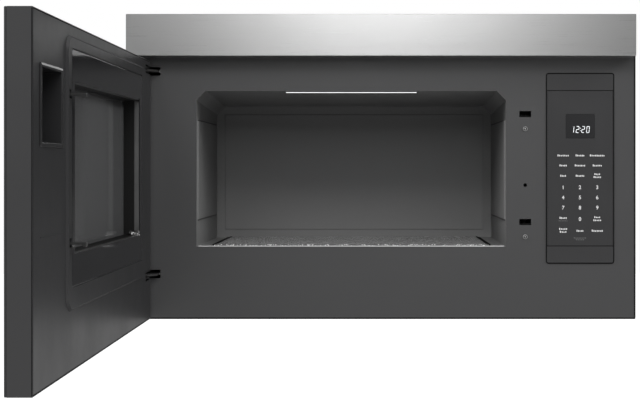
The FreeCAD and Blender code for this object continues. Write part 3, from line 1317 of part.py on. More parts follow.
def make_fan_blade():
    """Slanted blades round a hub, on the motor's shaft."""
    hub_end = "-fan_back+bracket_steel-shaft_radius-fan_tip_gap"
    front = f"{hub_end}-fan_hub_length"
    hub = rod("fan_hub_disc", "y", "fan_hub", ("fan_x", front, "fan_z"), "fan_hub_length")
    shaft = rod("fan_shaft", "y", "shaft_radius", ("fan_x", front, "fan_z"),
                "fan_hub_length+shaft_radius+fan_tip_gap+0.6*fan_motor_depth")
    shapes = []
    count = int(number("fan_blades"))
    inner, width = number("0.75*fan_hub"), number("fan_vane")
    middle = FreeCAD.Vector(number("fan_x"), number(f"{front}+fan_hub_length/2"), number("fan_z"))
    for blade in range(count):
        vane = Part.makeBox(number("fan_radius") - inner, number("bracket_steel"), width)
        vane.translate(FreeCAD.Vector(inner, -number("bracket_steel") / 2, -width / 2))
        vane.rotate(FreeCAD.Vector(), X, 24)
        vane.rotate(FreeCAD.Vector(), Y, 360 * blade / count)
        vane.translate(middle)
        shapes.append(vane)
    vanes = doc.addObject("Part::Feature", "fan_vanes")
    vanes.Shape = Part.makeCompound(shapes)
    trim = rod("fan_trim", "y", "fan_radius", ("fan_x", front, "fan_z"), "fan_hub_length")
    common = doc.addObject("Part::Common", "fan_vanes_trimmed")
    common.Base, common.Tool = vanes, trim
    keep(join("fan_blade_solid", [hub, shaft, common]), "cooling_fan_blade")


def make_filter_board():
    """The noise filter stands off the right side on four posts."""
    face = f"{INNER_RIGHT}-9"
    y, z = ("-250", "-170"), (f"{TOP}-77", f"{TOP}-22")
    parts = [block("filter_pcb", (f"{face}-board_thick", face), y, z)]
    for across in ("-245", "-175"):
        for up in (f"{TOP}-72", f"{TOP}-27"):
            parts.append(rod("post", "x", "2.5", (face, across, up), "9"))
    for across, down, tall in ((-236, 67, 24), (-206, 67, 24), (-236, 39, 14), (-200, 41, 12)):
        parts.append(block("filter_part", (f"{face}-board_thick-{tall}", f"{face}-board_thick"),
                           (str(across), str(across + 22)),
                           (f"{TOP}-{down}", f"{TOP}-{down - 16}")))
    keep(join("filter_board_solid", parts), "noise_filter_board")


# ---------------------------------------------------------------- ventilation


def make_blower_wheels():
    """Two drums of narrow blades, one at each end of the motor's shaft."""
    wheels = []
    for side in ("left", "right"):
        body = new_body(f"{side}_wheel")
        bind(body, "Placement.Base.y", "-blower_y")
        bind(body, "Placement.Base.z", "blower_z")
        near = "blower_motor_length/2+4"
        start = near if side == "right" else f"-({near})-wheel_length"
        inner_end = start if side == "right" else f"{start}+wheel_length-1.5"
        outer_end = f"{start}+wheel_length-2" if side == "right" else start
        hub = new_sketch(body, "YZ", inner_end)
        draw_circle(hub, "0", "0", "wheel_radius")
        draw_circle(hub, "0", "0", "shaft_radius+running_gap")
        pad(body, hub, "1.5")
        rim = new_sketch(body, "YZ", outer_end)
        draw_circle(rim, "0", "0", "wheel_radius")
        draw_circle(rim, "0", "0", "wheel_radius-8")
        pad(body, rim, "2")
        blade = new_sketch(body, "YZ", start)
        draw_outline(blade, [("-1.6", "wheel_radius-7.5"), ("0", "wheel_radius-7.5"),
                             ("3.4", "wheel_radius-0.7"), ("2", "wheel_radius-0.6")])
        blade_pad = pad(body, blade, "wheel_length")
        doc.recompute()
        turns = body.newObject("PartDesign::PolarPattern", f"{body.Name}_blades")
        turns.Originals = [blade_pad]
        turns.Axis = (next(f for f in body.Origin.OriginFeatures if f.Role == "X_Axis"), [""])
        turns.Angle = 360
        bind(turns, "Occurrences", "wheel_blades")
        body.Tip = turns
        wheels.append(body)
    keep(group("wheel_pair", wheels), "blower_wheels")


def make_blower_shaft():
    reach = "(blower_motor_length/2+4+8)"
    keep(rod("blower_rod", "x", "shaft_radius", (f"-{reach}", "-blower_y", "blower_z"),
             f"2*{reach}"), "blower_shaft")


def make_blower_motor():
    half = "blower_motor_length/2"
    can = rod("blower_can", "x", "blower_motor_radius", (f"-{half}", "-blower_y", "blower_z"),
              "blower_motor_length")
    saddle = block("blower_saddle", (f"-{half}+6", f"{half}-6"), ("-blower_y", "-casing_steel"),
                   ("blower_z-12", "blower_z+12"))
    bore = rod("blower_bore", "x", "shaft_radius+running_gap",
               (f"-{half}-1", "-blower_y", "blower_z"), "blower_motor_length+2")
    keep(cut("blower_motor_solid", join("blower_block", [can, saddle]), [bore]), "blower_motor")


def make_blower_housings():
    """Each housing is a scroll round its wheel, open at both ends and upwards."""
    housings = []
    gap = 6
    for side in (-1, 1):
        near = "(blower_motor_length/2+1)"
        length = "(wheel_length+6)"
        start = near if side == 1 else f"-{near}-{length}"
        wall = "housing_wall"
        body = new_body("scroll")
        outer = new_sketch(body, "YZ", start)
        draw_circle(outer, "-blower_y", "blower_z", f"wheel_radius+{gap}+{wall}")
        pad(body, outer, length)
        neck = new_sketch(body, "YZ", start)
        left = f"-blower_y-wheel_radius-{gap}-{wall}"
        right = "-duct_back-4"
        draw_rectangle(neck, left, right, "blower_z", INNER_TOP)
        pad(body, neck, length)
        inside = new_sketch(body, "YZ", f"{start}+{length}-{wall}")
        draw_circle(inside, "-blower_y", "blower_z", f"wheel_radius+{gap}")
        pocket(body, inside, f"{length}-2*{wall}")
        throat = new_sketch(body, "YZ", f"{start}+{length}-{wall}")
        draw_rectangle(throat, f"{left}+{wall}", f"{right}-{wall}", "blower_z",
                       f"{INNER_TOP}+1")
        pocket(body, throat, f"{length}-2*{wall}")
        eyes = new_sketch(body, "YZ", f"{start}+{length}")
        draw_circle(eyes, "-blower_y", "blower_z", "wheel_radius-6")
        pocket(body, eyes, length)
        housings.append(body)
    keep(group("housing_pair", housings), "blower_housings")


def make_exhaust_collar():
    """A sheet collar round the outlet, for a 10 by 3.25 inch duct to slip over."""
    wall = "collar_wall"
    span = ("-duct_width/2", "duct_width/2", "-duct_back-duct_depth", "-duct_back")
    body = new_body("collar")
    tube = new_sketch(body, "XY", TOP)
    draw_rectangle(tube, *span)
    draw_rectangle(tube, *grown(span, f"-{wall}"))
    pad(body, tube, "duct_rise")
    flange = new_sketch(body, "XY", TOP)
    draw_rectangle(flange, *grown(span, "9"))
    draw_rectangle(flange, *grown(span, f"-{wall}"))
    pad(body, flange, wall)
    bores = [rod("flap_bore", "x", "flap_pin+running_gap",
                 (f"{side}duct_width/2-{wall}*2", "flap_y", "flap_z"), f"4*{wall}")
             for side in ("-", "+")]
    keep(cut("collar_solid", body, bores), "exhaust_collar")


def make_exhaust_flap():
    """The flap lies shut by its own weight and swings up about its rear edge."""
    wall = "collar_wall"
    half = f"(duct_width/2-{wall}-side_gap)"
    plate = block("flap_plate", (f"-{half}", half),
                  (f"-duct_back-duct_depth+{wall}+1", "flap_y"),
                  (f"flap_z-flap_thick/2", f"flap_z+flap_thick/2"))
    barrel = rod("flap_barrel", "x", "flap_pin", ("-duct_width/2", "flap_y", "flap_z"), "duct_width")
    keep(join("flap", [plate, barrel]), "exhaust_flap")


def make_grease_filters():
    """Aluminium frames with a raised lattice over a thin mesh."""
    for name, side in (("left", "-"), ("right", "+")):
        left, right, front, back = filter_span(side)
        low, high = LOW, f"{LOW}+filter_thick"
        frame = block("filter_frame", (left, right), (front, back), (low, high))
        rim = "filter_frame"
        room = block("filter_room", (f"{left}+{rim}", f"{right}-{rim}"),
                     (f"{front}+{rim}", f"{back}-{rim}"), (f"{low}-1", f"{high}+1"))
        mesh = block("filter_mesh", (f"{left}+{rim}", f"{right}-{rim}"),
                     (f"{front}+{rim}", f"{back}-{rim}"), (f"{low}+2.5", f"{high}-2.5"))
        ribs = []
        for step in range(1, 4):
            at = f"{left}+{step}*filter_width/4"
            ribs.append(block("filter_rib", (f"{at}-1.5", f"{at}+1.5"),
                              (f"{front}+{rim}", f"{back}-{rim}"), (f"{low}+1", f"{high}-1")))
        pull = block("filter_pull", (f"{side}filter_x-12", f"{side}filter_x+12"),
                     (f"{front}+{rim}", f"{front}+{rim}+5"), (f"{low}-0", f"{low}+3"))
        parts = [cut("filter_ring", frame, [room]), mesh, *ribs, pull]
        keep(join(f"{name}_filter", parts), f"grease_filter_{name}")


def make_cooktop_lamp():
    left, right, front, back = lamp_span()
    lens = block("lens", (left, right), (front, back), (LOW, f"{LOW}+3"))
    rim = block("lens_rim", (f"{left}-6", f"{right}+6"), (f"{front}-6", f"{back}+6"),
                (INNER_LOW, f"{LOW}+3"))
    keep(join("lens_solid", [lens, rim]), "cooktop_lamp_lens")
    can = block("lamp_can", (f"{left}-4", f"{right}+4"), (f"{front}-4", f"{back}+4"),
                (f"{LOW}+3", f"{LOW}+26"))
    room = block("lamp_room", (f"{left}-2.5", f"{right}+2.5"), (f"{front}-2.5", f"{back}+2.5"),
                 (f"{LOW}+2", f"{LOW}+24"))
    light = block("lamp_chip", ("-14", "14"), (f"{front}+lamp_depth/2-14",
                                                f"{front}+lamp_depth/2+14"),
                  (f"{LOW}+20", f"{LOW}+24"))
    keep(join("lamp_solid", [cut("lamp_cut", can, [room]), light]), "cooktop_lamp")


# ---------------------------------------------------------------- fixings


def make_cord_bush():
    """A grooved rubber bush lines the cord's hole in the top panel."""
    at = ("cord_x", "-cord_back")
    sleeve = rod("bush_sleeve", "z", "cord_hole-running_gap", (*at, f"{INNER_TOP}-6"), "10")
    lips = [rod("bush_lip", "z", "cord_hole+3.5", (*at, TOP), "3"),
            rod("bush_lip", "z", "cord_hole+2.5", (*at, f"{INNER_TOP}-3"), "3")]
    bore = rod("bush_bore", "z", "cord_bore", (*at, f"{INNER_TOP}-8"), "20")
    keep(cut("bush", join("bush_solid", [sleeve, *lips]), [bore]), "cord_bush")


def make_screws():
    """Round screw heads on the sides, and the latch board's two cross-headed screws."""
    screws = []
    for wall, start in ((LEFT, f"{LEFT}-2.2"), (RIGHT, RIGHT)):
        for across in ("-body_depth+24", "-body_depth/2", "-24"):
            for up in (f"{LOW}+14", f"{TOP}-14"):
                screws.append(rod("case_screw", "x", "screw_head", (start, across, up), "2.2"))
    for height in ("upper_screw_z", "lower_screw_z"):
        shank = rod("screw_shank", "y", "screw_radius", ("hook_x", "-body_depth", height), "9")
        head = rod("screw_head_disc", "y", "screw_head", ("hook_x", "-body_depth-1.6", height),
                   "1.6")
        slot = block("screw_slot", ("hook_x-2.4", "hook_x+2.4"),
                     ("-body_depth-2", "-body_depth-0.9"), (f"{height}-0.4", f"{height}+0.4"))
        cross = block("screw_cross", ("hook_x-0.4", "hook_x+0.4"),
                      ("-body_depth-2", "-body_depth-0.9"), (f"{height}-2.4", f"{height}+2.4"))
        screws.append(cut("screw", join("screw_solid", [shank, head]), [slot, cross]))
    keep(group("screw_set", screws), "casing_screws")


# ---------------------------------------------------------------- put together

MAKERS = [
    make_back_panel, make_side_panels, make_top_panel, make_base_panel, make_front_frame,
    make_vent_strip, make_cavity_liner, make_cavity_light, make_floor_plate, make_floor_seals,
    make_stirrer_pan, make_stirrer, make_stirrer_motor, make_waveguide, make_control_bezel,
    make_keypad, make_control_board, make_latch_board, make_switches,
    make_hinge_arms, make_hinge_pins, make_door_hinge_plates,
    make_door_outer_glass, make_door_shell, make_door_inner_skin, make_door_pad,
    make_window_surround, make_window_reveal, make_door_pan, make_window_panes,
    make_display_well, make_latch, make_latch_guide, make_latch_spring, make_magnetron,
    make_transformer, make_capacitor, make_diode, make_fan_bracket, make_fan_motor,
    make_fan_blade, make_filter_board, make_blower_wheels,
    make_blower_shaft, make_blower_motor, make_blower_housings, make_exhaust_collar,
    make_exhaust_flap, make_grease_filters, make_cooktop_lamp, make_cord_bush,
    make_screws,
]


def open_door():
    """Turn the door's pieces about the hinge pins, from shut to open."""
    pin = FreeCAD.Vector(number("hinge_x"), number("hinge_y"), 0)
    swing = FreeCAD.Placement(FreeCAD.Vector(), FreeCAD.Rotation(Z, -number("door_open")), pin)
    for piece in swinging:
        piece.Placement = swing.multiply(piece.Placement)


def check():
    for thing in doc.Objects:
        if {"Invalid", "Error"} & set(thing.State):
            raise ValueError(f"{thing.Label} is {thing.State}")
    for piece in kept:
        if piece.Shape.isNull() or not piece.Shape.isValid() or not piece.Shape.Solids:
            raise ValueError(f"{piece.Label} has no sound shape")


def export():
    os.makedirs("parts", exist_ok=True)
    for piece in kept:
        piece.Shape.exportStep(f"parts/{piece.Label}.step")


for make in MAKERS:
    make()
doc.recompute()
open_door()
doc.recompute()
check()
export()
print(len(kept), "pieces")
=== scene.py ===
import json
import math

import bmesh
import bpy
from mathutils import Matrix, Vector

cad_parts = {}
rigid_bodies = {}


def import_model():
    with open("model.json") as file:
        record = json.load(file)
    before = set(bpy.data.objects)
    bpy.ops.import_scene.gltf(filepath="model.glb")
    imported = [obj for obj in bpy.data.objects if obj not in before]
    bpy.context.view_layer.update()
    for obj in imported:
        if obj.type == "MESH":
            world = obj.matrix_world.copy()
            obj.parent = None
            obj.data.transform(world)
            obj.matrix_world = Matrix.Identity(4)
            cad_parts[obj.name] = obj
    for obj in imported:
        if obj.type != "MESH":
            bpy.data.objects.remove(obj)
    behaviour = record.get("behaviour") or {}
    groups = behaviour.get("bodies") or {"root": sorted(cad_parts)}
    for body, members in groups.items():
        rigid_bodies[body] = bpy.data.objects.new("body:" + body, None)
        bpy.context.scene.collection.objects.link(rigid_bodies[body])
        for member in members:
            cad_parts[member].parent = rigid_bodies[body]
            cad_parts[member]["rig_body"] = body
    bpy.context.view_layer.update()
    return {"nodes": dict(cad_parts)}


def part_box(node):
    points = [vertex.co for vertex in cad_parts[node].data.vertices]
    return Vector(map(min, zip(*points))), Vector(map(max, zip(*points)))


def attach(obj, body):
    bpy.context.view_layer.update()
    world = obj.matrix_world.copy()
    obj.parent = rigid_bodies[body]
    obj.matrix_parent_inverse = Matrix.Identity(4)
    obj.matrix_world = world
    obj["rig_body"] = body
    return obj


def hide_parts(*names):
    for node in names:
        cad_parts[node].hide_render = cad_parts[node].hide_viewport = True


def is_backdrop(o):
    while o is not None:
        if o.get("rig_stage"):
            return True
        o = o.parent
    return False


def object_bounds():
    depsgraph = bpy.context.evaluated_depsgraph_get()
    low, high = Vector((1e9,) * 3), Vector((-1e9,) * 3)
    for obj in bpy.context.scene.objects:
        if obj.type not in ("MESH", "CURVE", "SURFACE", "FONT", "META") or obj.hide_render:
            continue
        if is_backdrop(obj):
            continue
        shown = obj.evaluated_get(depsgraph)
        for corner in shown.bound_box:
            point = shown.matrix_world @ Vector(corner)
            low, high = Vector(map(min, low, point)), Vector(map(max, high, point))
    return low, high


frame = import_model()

# ---- camera and studio ---------------------------------------------------------------
# The camera looks straight into the oven from arm's length, level with the middle of the door.
# A pale sweep of floor and wall and a few soft boxes stand round the oven.
picture_width, picture_height = 640, 400
focal_length_px, axis_x, axis_y = 1478, 376.3, 167.1
camera_data = bpy.data.cameras.new("camera")
camera_data.sensor_width = 36
camera_data.lens = camera_data.sensor_width * focal_length_px / picture_width
camera_data.shift_x = (picture_width / 2 - axis_x) / picture_width
camera_data.shift_y = (axis_y - picture_height / 2) / picture_width
camera = bpy.data.objects.new("camera", camera_data)
camera.location = (-0.007, -2.569, -0.0005)
camera.rotation_euler = (math.pi / 2, 0, 0)
bpy.context.collection.objects.link(camera)
bpy.context.scene.camera = camera

world = bpy.data.worlds.new("studio")
bpy.context.scene.world = world
world.use_nodes = True
nodes, links = world.node_tree.nodes, world.node_tree.links
backdrop = nodes["Background"]
backdrop.inputs["Color"].default_value = (1, 1, 1, 1)


def seen_by(nodes, links, to_eye, to_gloss, to_rest):
    """One strength for the camera's rays, one for reflections and one for all others."""
    looked_at = nodes.new("ShaderNodeLightPath")
    strength, gleam = nodes.new("ShaderNodeMapRange"), nodes.new("ShaderNodeMapRange")
    strength.inputs["To Max"].default_value = to_eye
    gleam.inputs["To Max"].default_value = to_gloss
    gleam.inputs["To Min"].default_value = to_rest
    links.new(looked_at.outputs["Is Glossy Ray"], gleam.inputs["Value"])
    links.new(gleam.outputs["Result"], strength.inputs["To Min"])
    links.new(looked_at.outputs["Is Camera Ray"], strength.inputs["Value"])
    return strength.outputs["Result"]


links.new(seen_by(nodes, links, 1.0, 0.10, 0.20), backdrop.inputs["Strength"])
bpy.context.scene.view_settings.view_transform = "Standard"


def soft_box(name, place, target, width, height, power, mirrored=True):
    """A flat studio lamp that faces a point; it may be kept out of the reflections."""
    lamp = bpy.data.lights.new(name, "AREA")
    lamp.shape = "RECTANGLE"
    lamp.size, lamp.size_y, lamp.energy = width, height, power
    stand = bpy.data.objects.new(name, lamp)
    stand.location = place
    away = Vector(target) - Vector(place)
    stand.rotation_euler = away.to_track_quat("-Z", "Y").to_euler()
    stand.visible_glossy = mirrored
    bpy.context.collection.objects.link(stand)


aimed_at, distance = (0, -0.3, 0), 3
soft_box("key_box", (0.0, -3.0, 1.05), aimed_at, 0.7, 1.1, 13.2)
for turn, lift, power in ((-70, 30, 50), (-24, 34, 24), (0, 34, 20), (24, 34, 16), (70, 30, 54)):
    around, up = math.radians(turn), math.radians(lift)
    place = (distance * math.cos(up) * math.sin(around),
             aimed_at[1] - distance * math.cos(up) * math.cos(around), distance * math.sin(up))
    soft_box(f"room_box_{turn + 90}", place, aimed_at, 0.9, 0.8, power, mirrored=False)


def piece_from(name, points, faces):
    """A new object from points in metres and the faces between them."""
    mesh = bpy.data.meshes.new(name)
    mesh.from_pydata(points, [], faces)
    mesh.validate()
    made = bpy.data.objects.new(name, mesh)
    bpy.context.collection.objects.link(made)
    return made


floor_z, reach = -0.62, 6
floor = piece_from("studio_floor", [(-reach, -reach, floor_z), (reach, -reach, floor_z),
                                    (reach, reach, floor_z), (-reach, reach, floor_z)],
                   [(0, 1, 2, 3)])
pale = bpy.data.materials.new("pale_floor")
pale.use_nodes = True
nodes, links = pale.node_tree.nodes, pale.node_tree.links
pale_shader = nodes["Principled BSDF"]
for socket, value in (("Base Color", (0.35, 0.35, 0.35, 1)), ("Roughness", 0.9),
                      ("Emission Color", (1, 1, 1, 1))):
    pale_shader.inputs[socket].default_value = value
links.new(seen_by(nodes, links, 1.0, 0.35, 0.04), pale_shader.inputs["Emission Strength"])
# Seen from below, the floor lets the view through.
side, clear = nodes.new("ShaderNodeNewGeometry"), nodes.new("ShaderNodeBsdfTransparent")
either = nodes.new("ShaderNodeMixShader")
links.new(side.outputs["Backfacing"], either.inputs["Fac"])
links.new(pale_shader.outputs["BSDF"], either.inputs[1])
links.new(clear.outputs["BSDF"], either.inputs[2])
links.new(either.outputs["Shader"], nodes["Material Output"].inputs["Surface"])
floor.data.materials.append(pale)
floor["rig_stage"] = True

# ---- outer case: back, sides, top and base sheets ------------------------------------
# Steel sheets of about a millimetre, folded and screwed into a box, painted satin black.
# The paint has a fine orange peel, and the folds and cut edges are slightly rounded.


def surface_group(title, *given_sockets):
    """An empty surface group that gives out a colour, a roughness and a height."""
    group = bpy.data.node_groups.new(title, "ShaderNodeTree")
    sockets = [("INPUT", name, kind) for name, kind in (("Colour", "Color"), ("Gloss", "Float"),
                                                        *given_sockets)]
    sockets += [("OUTPUT", "Colour", "Color"), ("OUTPUT", "Roughness", "Float"),
                ("OUTPUT", "Height", "Float")]
    for way, name, kind in sockets:
        group.interface.new_socket(name, in_out=way, socket_type="NodeSocket" + kind)
    return group, group.nodes.new("NodeGroupInput")


def noise_in(group, vector, **settings):
    """A noise pattern over the given place."""
    noise = group.nodes.new("ShaderNodeTexNoise")
    for socket, value in settings.items():
        noise.inputs[socket].default_value = value
    group.links.new(vector, noise.inputs["Vector"])
    return noise.outputs["Fac"]


def surface_from(group, given, fine, relief, broad, duller_by, shade):
    """Height from the fine pattern; the colour and the gloss swing a little with the broad one."""
    nodes, links = group.nodes, group.links
    out = nodes.new("NodeGroupOutput")

    def worked_out(operation, *values):
        sum_node = nodes.new("ShaderNodeMath")
        sum_node.operation = operation
        for socket, value in zip(sum_node.inputs, values):
            if isinstance(value, float):
                socket.default_value = value
            else:
                links.new(value, socket)
        return sum_node.outputs[0]

    links.new(worked_out("MULTIPLY", fine, given.outputs[relief]), out.inputs["Height"])
    centred = worked_out("SUBTRACT", broad, 0.5)
    links.new(worked_out("MULTIPLY_ADD", centred, duller_by, given.outputs["Gloss"]),
              out.inputs["Roughness"])
    tone = nodes.new("ShaderNodeHueSaturation")
    links.new(worked_out("ADD", worked_out("MULTIPLY", centred, shade), 1.0), tone.inputs["Value"])
    links.new(given.outputs["Colour"], tone.inputs["Color"])
    links.new(tone.outputs["Color"], out.inputs["Colour"])


def paint_film():
    """Sprayed and baked paint: fine orange peel, and slight changes of shade and gloss."""
    film, given = surface_group("paint film", ("Peel", "Float"), ("Shade", "Float"))
    place = film.nodes.new("ShaderNodeTexCoord").outputs["Object"]
    peel = noise_in(film, place, Scale=620, Detail=1.5)
    patches = noise_in(film, place, Scale=7, Detail=5, Roughness=0.6)
    surface_from(film, given, peel, "Peel", patches, 0.22, given.outputs["Shade"])
    return film


def new_finish(name, **shader_values):
    """A plain finish: its material and its shader, with the shader's sockets set."""
    made = bpy.data.materials.new(name)
    made.use_nodes = True
    shader = made.node_tree.nodes["Principled BSDF"]
    for socket, value in shader_values.items():
        shader.inputs[socket.replace("_", " ")].default_value = value
    return made, shader


def plain_finish(name, **shader_values):
    """A finish that is only values on its shader."""
    return new_finish(name, **shader_values)[0]


def with_film(name, film, colour, bump=0.2, **values):
    """A finish made by a surface group; values go to the group's sockets or the shader's."""
    made, shader = new_finish(name)
    nodes, links = made.node_tree.nodes, made.node_tree.links
    layer = nodes.new("ShaderNodeGroup")
    layer.node_tree = film
    layer.inputs["Colour"].default_value = (*colour, 1)
    for socket, value in values.items():
        owner = layer if socket in layer.inputs else shader
        owner.inputs[socket.replace("_", " ")].default_value = value
    links.new(layer.outputs["Colour"], shader.inputs["Base Color"])
    links.new(layer.outputs["Roughness"], shader.inputs["Roughness"])
    relief = nodes.new("ShaderNodeBump")
    relief.inputs["Strength"].default_value = bump
    relief.inputs["Distance"].default_value = 0.0001
    links.new(layer.outputs["Height"], relief.inputs["Height"])
    links.new(relief.outputs["Normal"], shader.inputs["Normal"])
    return made


PAINT = paint_film()
case_black = with_film("case_black", PAINT, (0.021, 0.021, 0.022), Gloss=0.42, Peel=1.0, Shade=0.3)


def eased(node, finish, radius=0.0004, turns=2):
    """A copy of a CAD piece with its sharp edges rounded, which stands for that piece."""
    source, sharp = frame["nodes"][node], math.radians(32)
    shape = bmesh.new()
    shape.from_mesh(source.data)
    bmesh.ops.remove_doubles(shape, verts=shape.verts, dist=2e-6)
    bmesh.ops.dissolve_limit(shape, angle_limit=math.radians(0.5),
                             verts=shape.verts, edges=shape.edges)
    mesh = bpy.data.meshes.new(node + "_eased")
    shape.to_mesh(mesh)
    shape.free()
    if "custom_normal" in mesh.attributes:
        mesh.attributes.remove(mesh.attributes["custom_normal"])
    for face in mesh.polygons:
        face.material_index = 0
    mesh.shade_smooth()
    mesh.set_sharp_from_angle(angle=sharp)
    mesh.materials.clear()
    mesh.materials.append(finish)
    copy = bpy.data.objects.new(node + "_piece", mesh)
    bpy.context.collection.objects.link(copy)
    bevel = copy.modifiers.new("eased edges", "BEVEL")
    bevel.width, bevel.segments = radius, turns
    bevel.limit_method, bevel.angle_limit = "ANGLE", sharp
    bevel.use_clamp_overlap = True
    bevel.harden_normals = True
    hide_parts(node)
    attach(copy, source["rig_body"])
    return copy


for sheet in ("left_side_panel", "right_side_panel", "top_panel", "base_panel"):
    eased(sheet, case_black, radius=0.0003)


def drawn_grain():
    """The lines that rolling or brushing leaves in bare metal, along the group's long way."""
    grain, given = surface_group("drawn grain", ("Lines", "Float"), ("Shade", "Float"),
                                 ("Stretch", "Vector"))
    place = grain.nodes.new("ShaderNodeTexCoord")
    drawn = grain.nodes.new("ShaderNodeVectorMath")
    drawn.operation = "MULTIPLY"
    grain.links.new(place.outputs["Object"], drawn.inputs[0])
    grain.links.new(given.outputs["Stretch"], drawn.inputs[1])
    fine = noise_in(grain, drawn.outputs["Vector"], Scale=1, Detail=4, Roughness=0.7)
    surface_from(grain, given, fine, "Lines", fine, 0.3, given.outputs["Shade"])
    return grain


GRAIN = drawn_grain()
zinc_sheet = with_film("zinc_sheet", GRAIN, (0.42, 0.43, 0.44), Gloss=0.42, Lines=0.6, Shade=0.35,
                       Stretch=(60, 60, 9), Metallic=0.9)
eased("back_panel", zinc_sheet, radius=0.0003)

# ---- front frame ---------------------------------------------------------------------
# One pressed steel front with the oven's mouth, the latch slots and the panel's opening.
# It is sprayed in a satin charcoal; the door's choke closes against it.
frame_charcoal = with_film("frame_charcoal", PAINT, (0.046, 0.046, 0.047), Gloss=0.42, Peel=0.9,
                           Shade=0.10)
eased("front_frame", frame_charcoal, radius=0.0004)


def faced_outward(mesh):
    """Turn every face of a mesh to the outside."""
    shape = bmesh.new()
    shape.from_mesh(mesh)
    bmesh.ops.recalc_face_normals(shape, faces=shape.faces)
    shape.to_mesh(mesh)
    shape.free()


def ribbon(name, path, across, proud, finish, body, closed=False):
    """A thin raised line along a path; across points from each corner to its other edge."""
    rings = []
    for point, side in zip(path, across):
        point, side, proud_by = Vector(point), Vector(side), Vector(proud)
        rings.append([point, point + side, point + side * 0.88 + proud_by,
                      point + side * 0.12 + proud_by])
    points = [corner for ring in rings for corner in ring]
    faces, count = [], len(rings)
    for i in range(count if closed else count - 1):
        j = (i + 1) % count
        for k in range(4):
            faces.append((4 * i + k, 4 * i + (k + 1) % 4, 4 * j + (k + 1) % 4, 4 * j + k))
    if not closed:
        faces += [(3, 2, 1, 0), (4 * count - 4, 4 * count - 3, 4 * count - 2, 4 * count - 1)]
    made = piece_from(name, points, faces)
    faced_outward(made.data)
    made.data.materials.append(finish)
    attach(made, body)


# The folded edges of the case show as a line round the frame, painted a black deeper than the
# case's own: painted shade along the frame's edge.
painted_shade_black = with_film("painted_shade_black", PAINT, (0.004, 0.004, 0.004), Gloss=0.6, Peel=0.6, Shade=0.1,
                      Specular_IOR_Level=0.2)
front_low, front_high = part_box("front_frame")
hem, turn, mid_turn, mid_hem, hem_proud = 0.0023, 0.0030, 0.3, 0.75, 0.0004
hem_path, hem_side = [], []
for x, way in ((front_low.x, 1), (front_high.x, -1)):
    path = [(x, front_high.z), (x, front_low.z + turn),
            (x + way * turn * mid_turn, front_low.z + turn * mid_turn),
            (x + way * turn, front_low.z)]
    sides = [(way * hem, 0, 0), (way * hem, 0, 0),
             (way * hem * mid_hem, 0, hem * mid_hem), (0, 0, hem)]
    hem_path += [(px, front_low.y, pz) for px, pz in path[::way]]
    hem_side += sides[::way]
ribbon("case_hem", hem_path, hem_side, (0, -hem_proud, 0), painted_shade_black, "casing")

# ---- brushed strip -------------------------------------------------------------------
# A strip of brushed stainless steel across the top of the front, clipped over the frame.
# The brushing runs along it, and its ends are folded back.
brushed_steel = with_film("brushed_steel", GRAIN, (0.60, 0.60, 0.60), Gloss=0.32, Lines=1.0,
                          Shade=0.14, Stretch=(6, 2400, 2400), bump=0.16, Metallic=1.0)
eased("vent_strip", brushed_steel, radius=0.0005)

# ---- oven cavity ---------------------------------------------------------------------
# A box pressed and welded from thin steel with embossed walls, enamelled in charcoal.
# It is welded to the back of the front frame round the mouth.
enamel = with_film("cavity_enamel", PAINT, (0.165, 0.165, 0.165), Gloss=0.38, Peel=1.2, Shade=0.14)
eased("cavity_liner", enamel, radius=0.0005)

# The rolled lip along the mouth's lower edge is painted bright: a painted highlight where the edge
# catches the light.
painted_lip_highlight = with_film("painted_lip_highlight", PAINT, (0.62, 0.62, 0.62), Gloss=0.3, Peel=1.0, Shade=0.25)
mouth_left, mouth_right, mouth_floor = -0.2752, 0.1865, -0.1189
lip_height, lip_proud, lip_behind, lip_end = 0.0011, 0.0003, 0.0006, 0.003
ribbon("mouth_lip", [(x, front_low.y + lip_behind, mouth_floor)
                     for x in (mouth_left + lip_end, mouth_right - lip_end)],
       [(0, 0, lip_height)] * 2, (0, -lip_proud, 0), painted_lip_highlight, "casing")


def cut_and_sort(piece, planes, material_of):
    """Cut a piece along planes, then give each face the material that material_of numbers."""
    cuts = bmesh.new()
    cuts.from_mesh(piece.data)
    for point, normal in planes:
        bmesh.ops.bisect_plane(cuts, geom=cuts.verts[:] + cuts.edges[:] + cuts.faces[:],
                               plane_co=point, plane_no=normal)
    for face in cuts.faces:
        face.material_index = material_of(face)
    cuts.to_mesh(piece.data)
    cuts.free()


# The lamp's bar is a strip of clear plastic lit from its end, under the cavity's ceiling.
light_strip = plain_finish("light_strip", Base_Color=(0.9, 0.9, 0.9, 1),
                           Emission_Color=(1, 1, 1, 1), Emission_Strength=0.9)
light_bar = eased("cavity_light_bar", light_strip, radius=0.0001)
light_bar.data.materials.append(enamel)
lit_height = 0.0006
lit_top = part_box("cavity_light_bar")[0].z + lit_height
cut_and_sort(light_bar, [((0, 0, lit_top), (0, 0, 1))],
             lambda face: int(face.calc_center_median().z > lit_top))

# A dark line of painted shade runs along the upper and lower edge of each side wall's pressed
# panel, where the panel steps.
panel_shade_paint = with_film("painted_panel_shade", PAINT, (0.050, 0.050, 0.050), Gloss=0.5, Peel=1.0, Shade=0.2)
panel_low, panel_high, bead, bead_inset = -0.0790, 0.0690, 0.0016, 0.0012
wall_front, wall_back = front_low.y + 0.016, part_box("cavity_liner")[1].y - 0.016
walls = [vert.co.x for vert in frame["nodes"]["cavity_liner"].data.vertices
         if abs(vert.co.z - panel_low) < 0.0005]
middle = sum(walls) / len(walls)
for label, side in (("left", -1), ("right", 1)):
    wall = side * min(side * x for x in walls if (x - middle) * side > 0)
    for edge, height in (("upper", panel_high + 0.0002), ("lower", panel_low - 0.0018)):
        ribbon(f"wall_shade_line_{edge}_{label}",
               [(wall + side * bead_inset, y, height) for y in (wall_front, wall_back)],
               [(0, 0, bead)] * 2, (-side * bead, 0, 0), panel_shade_paint, "casing")

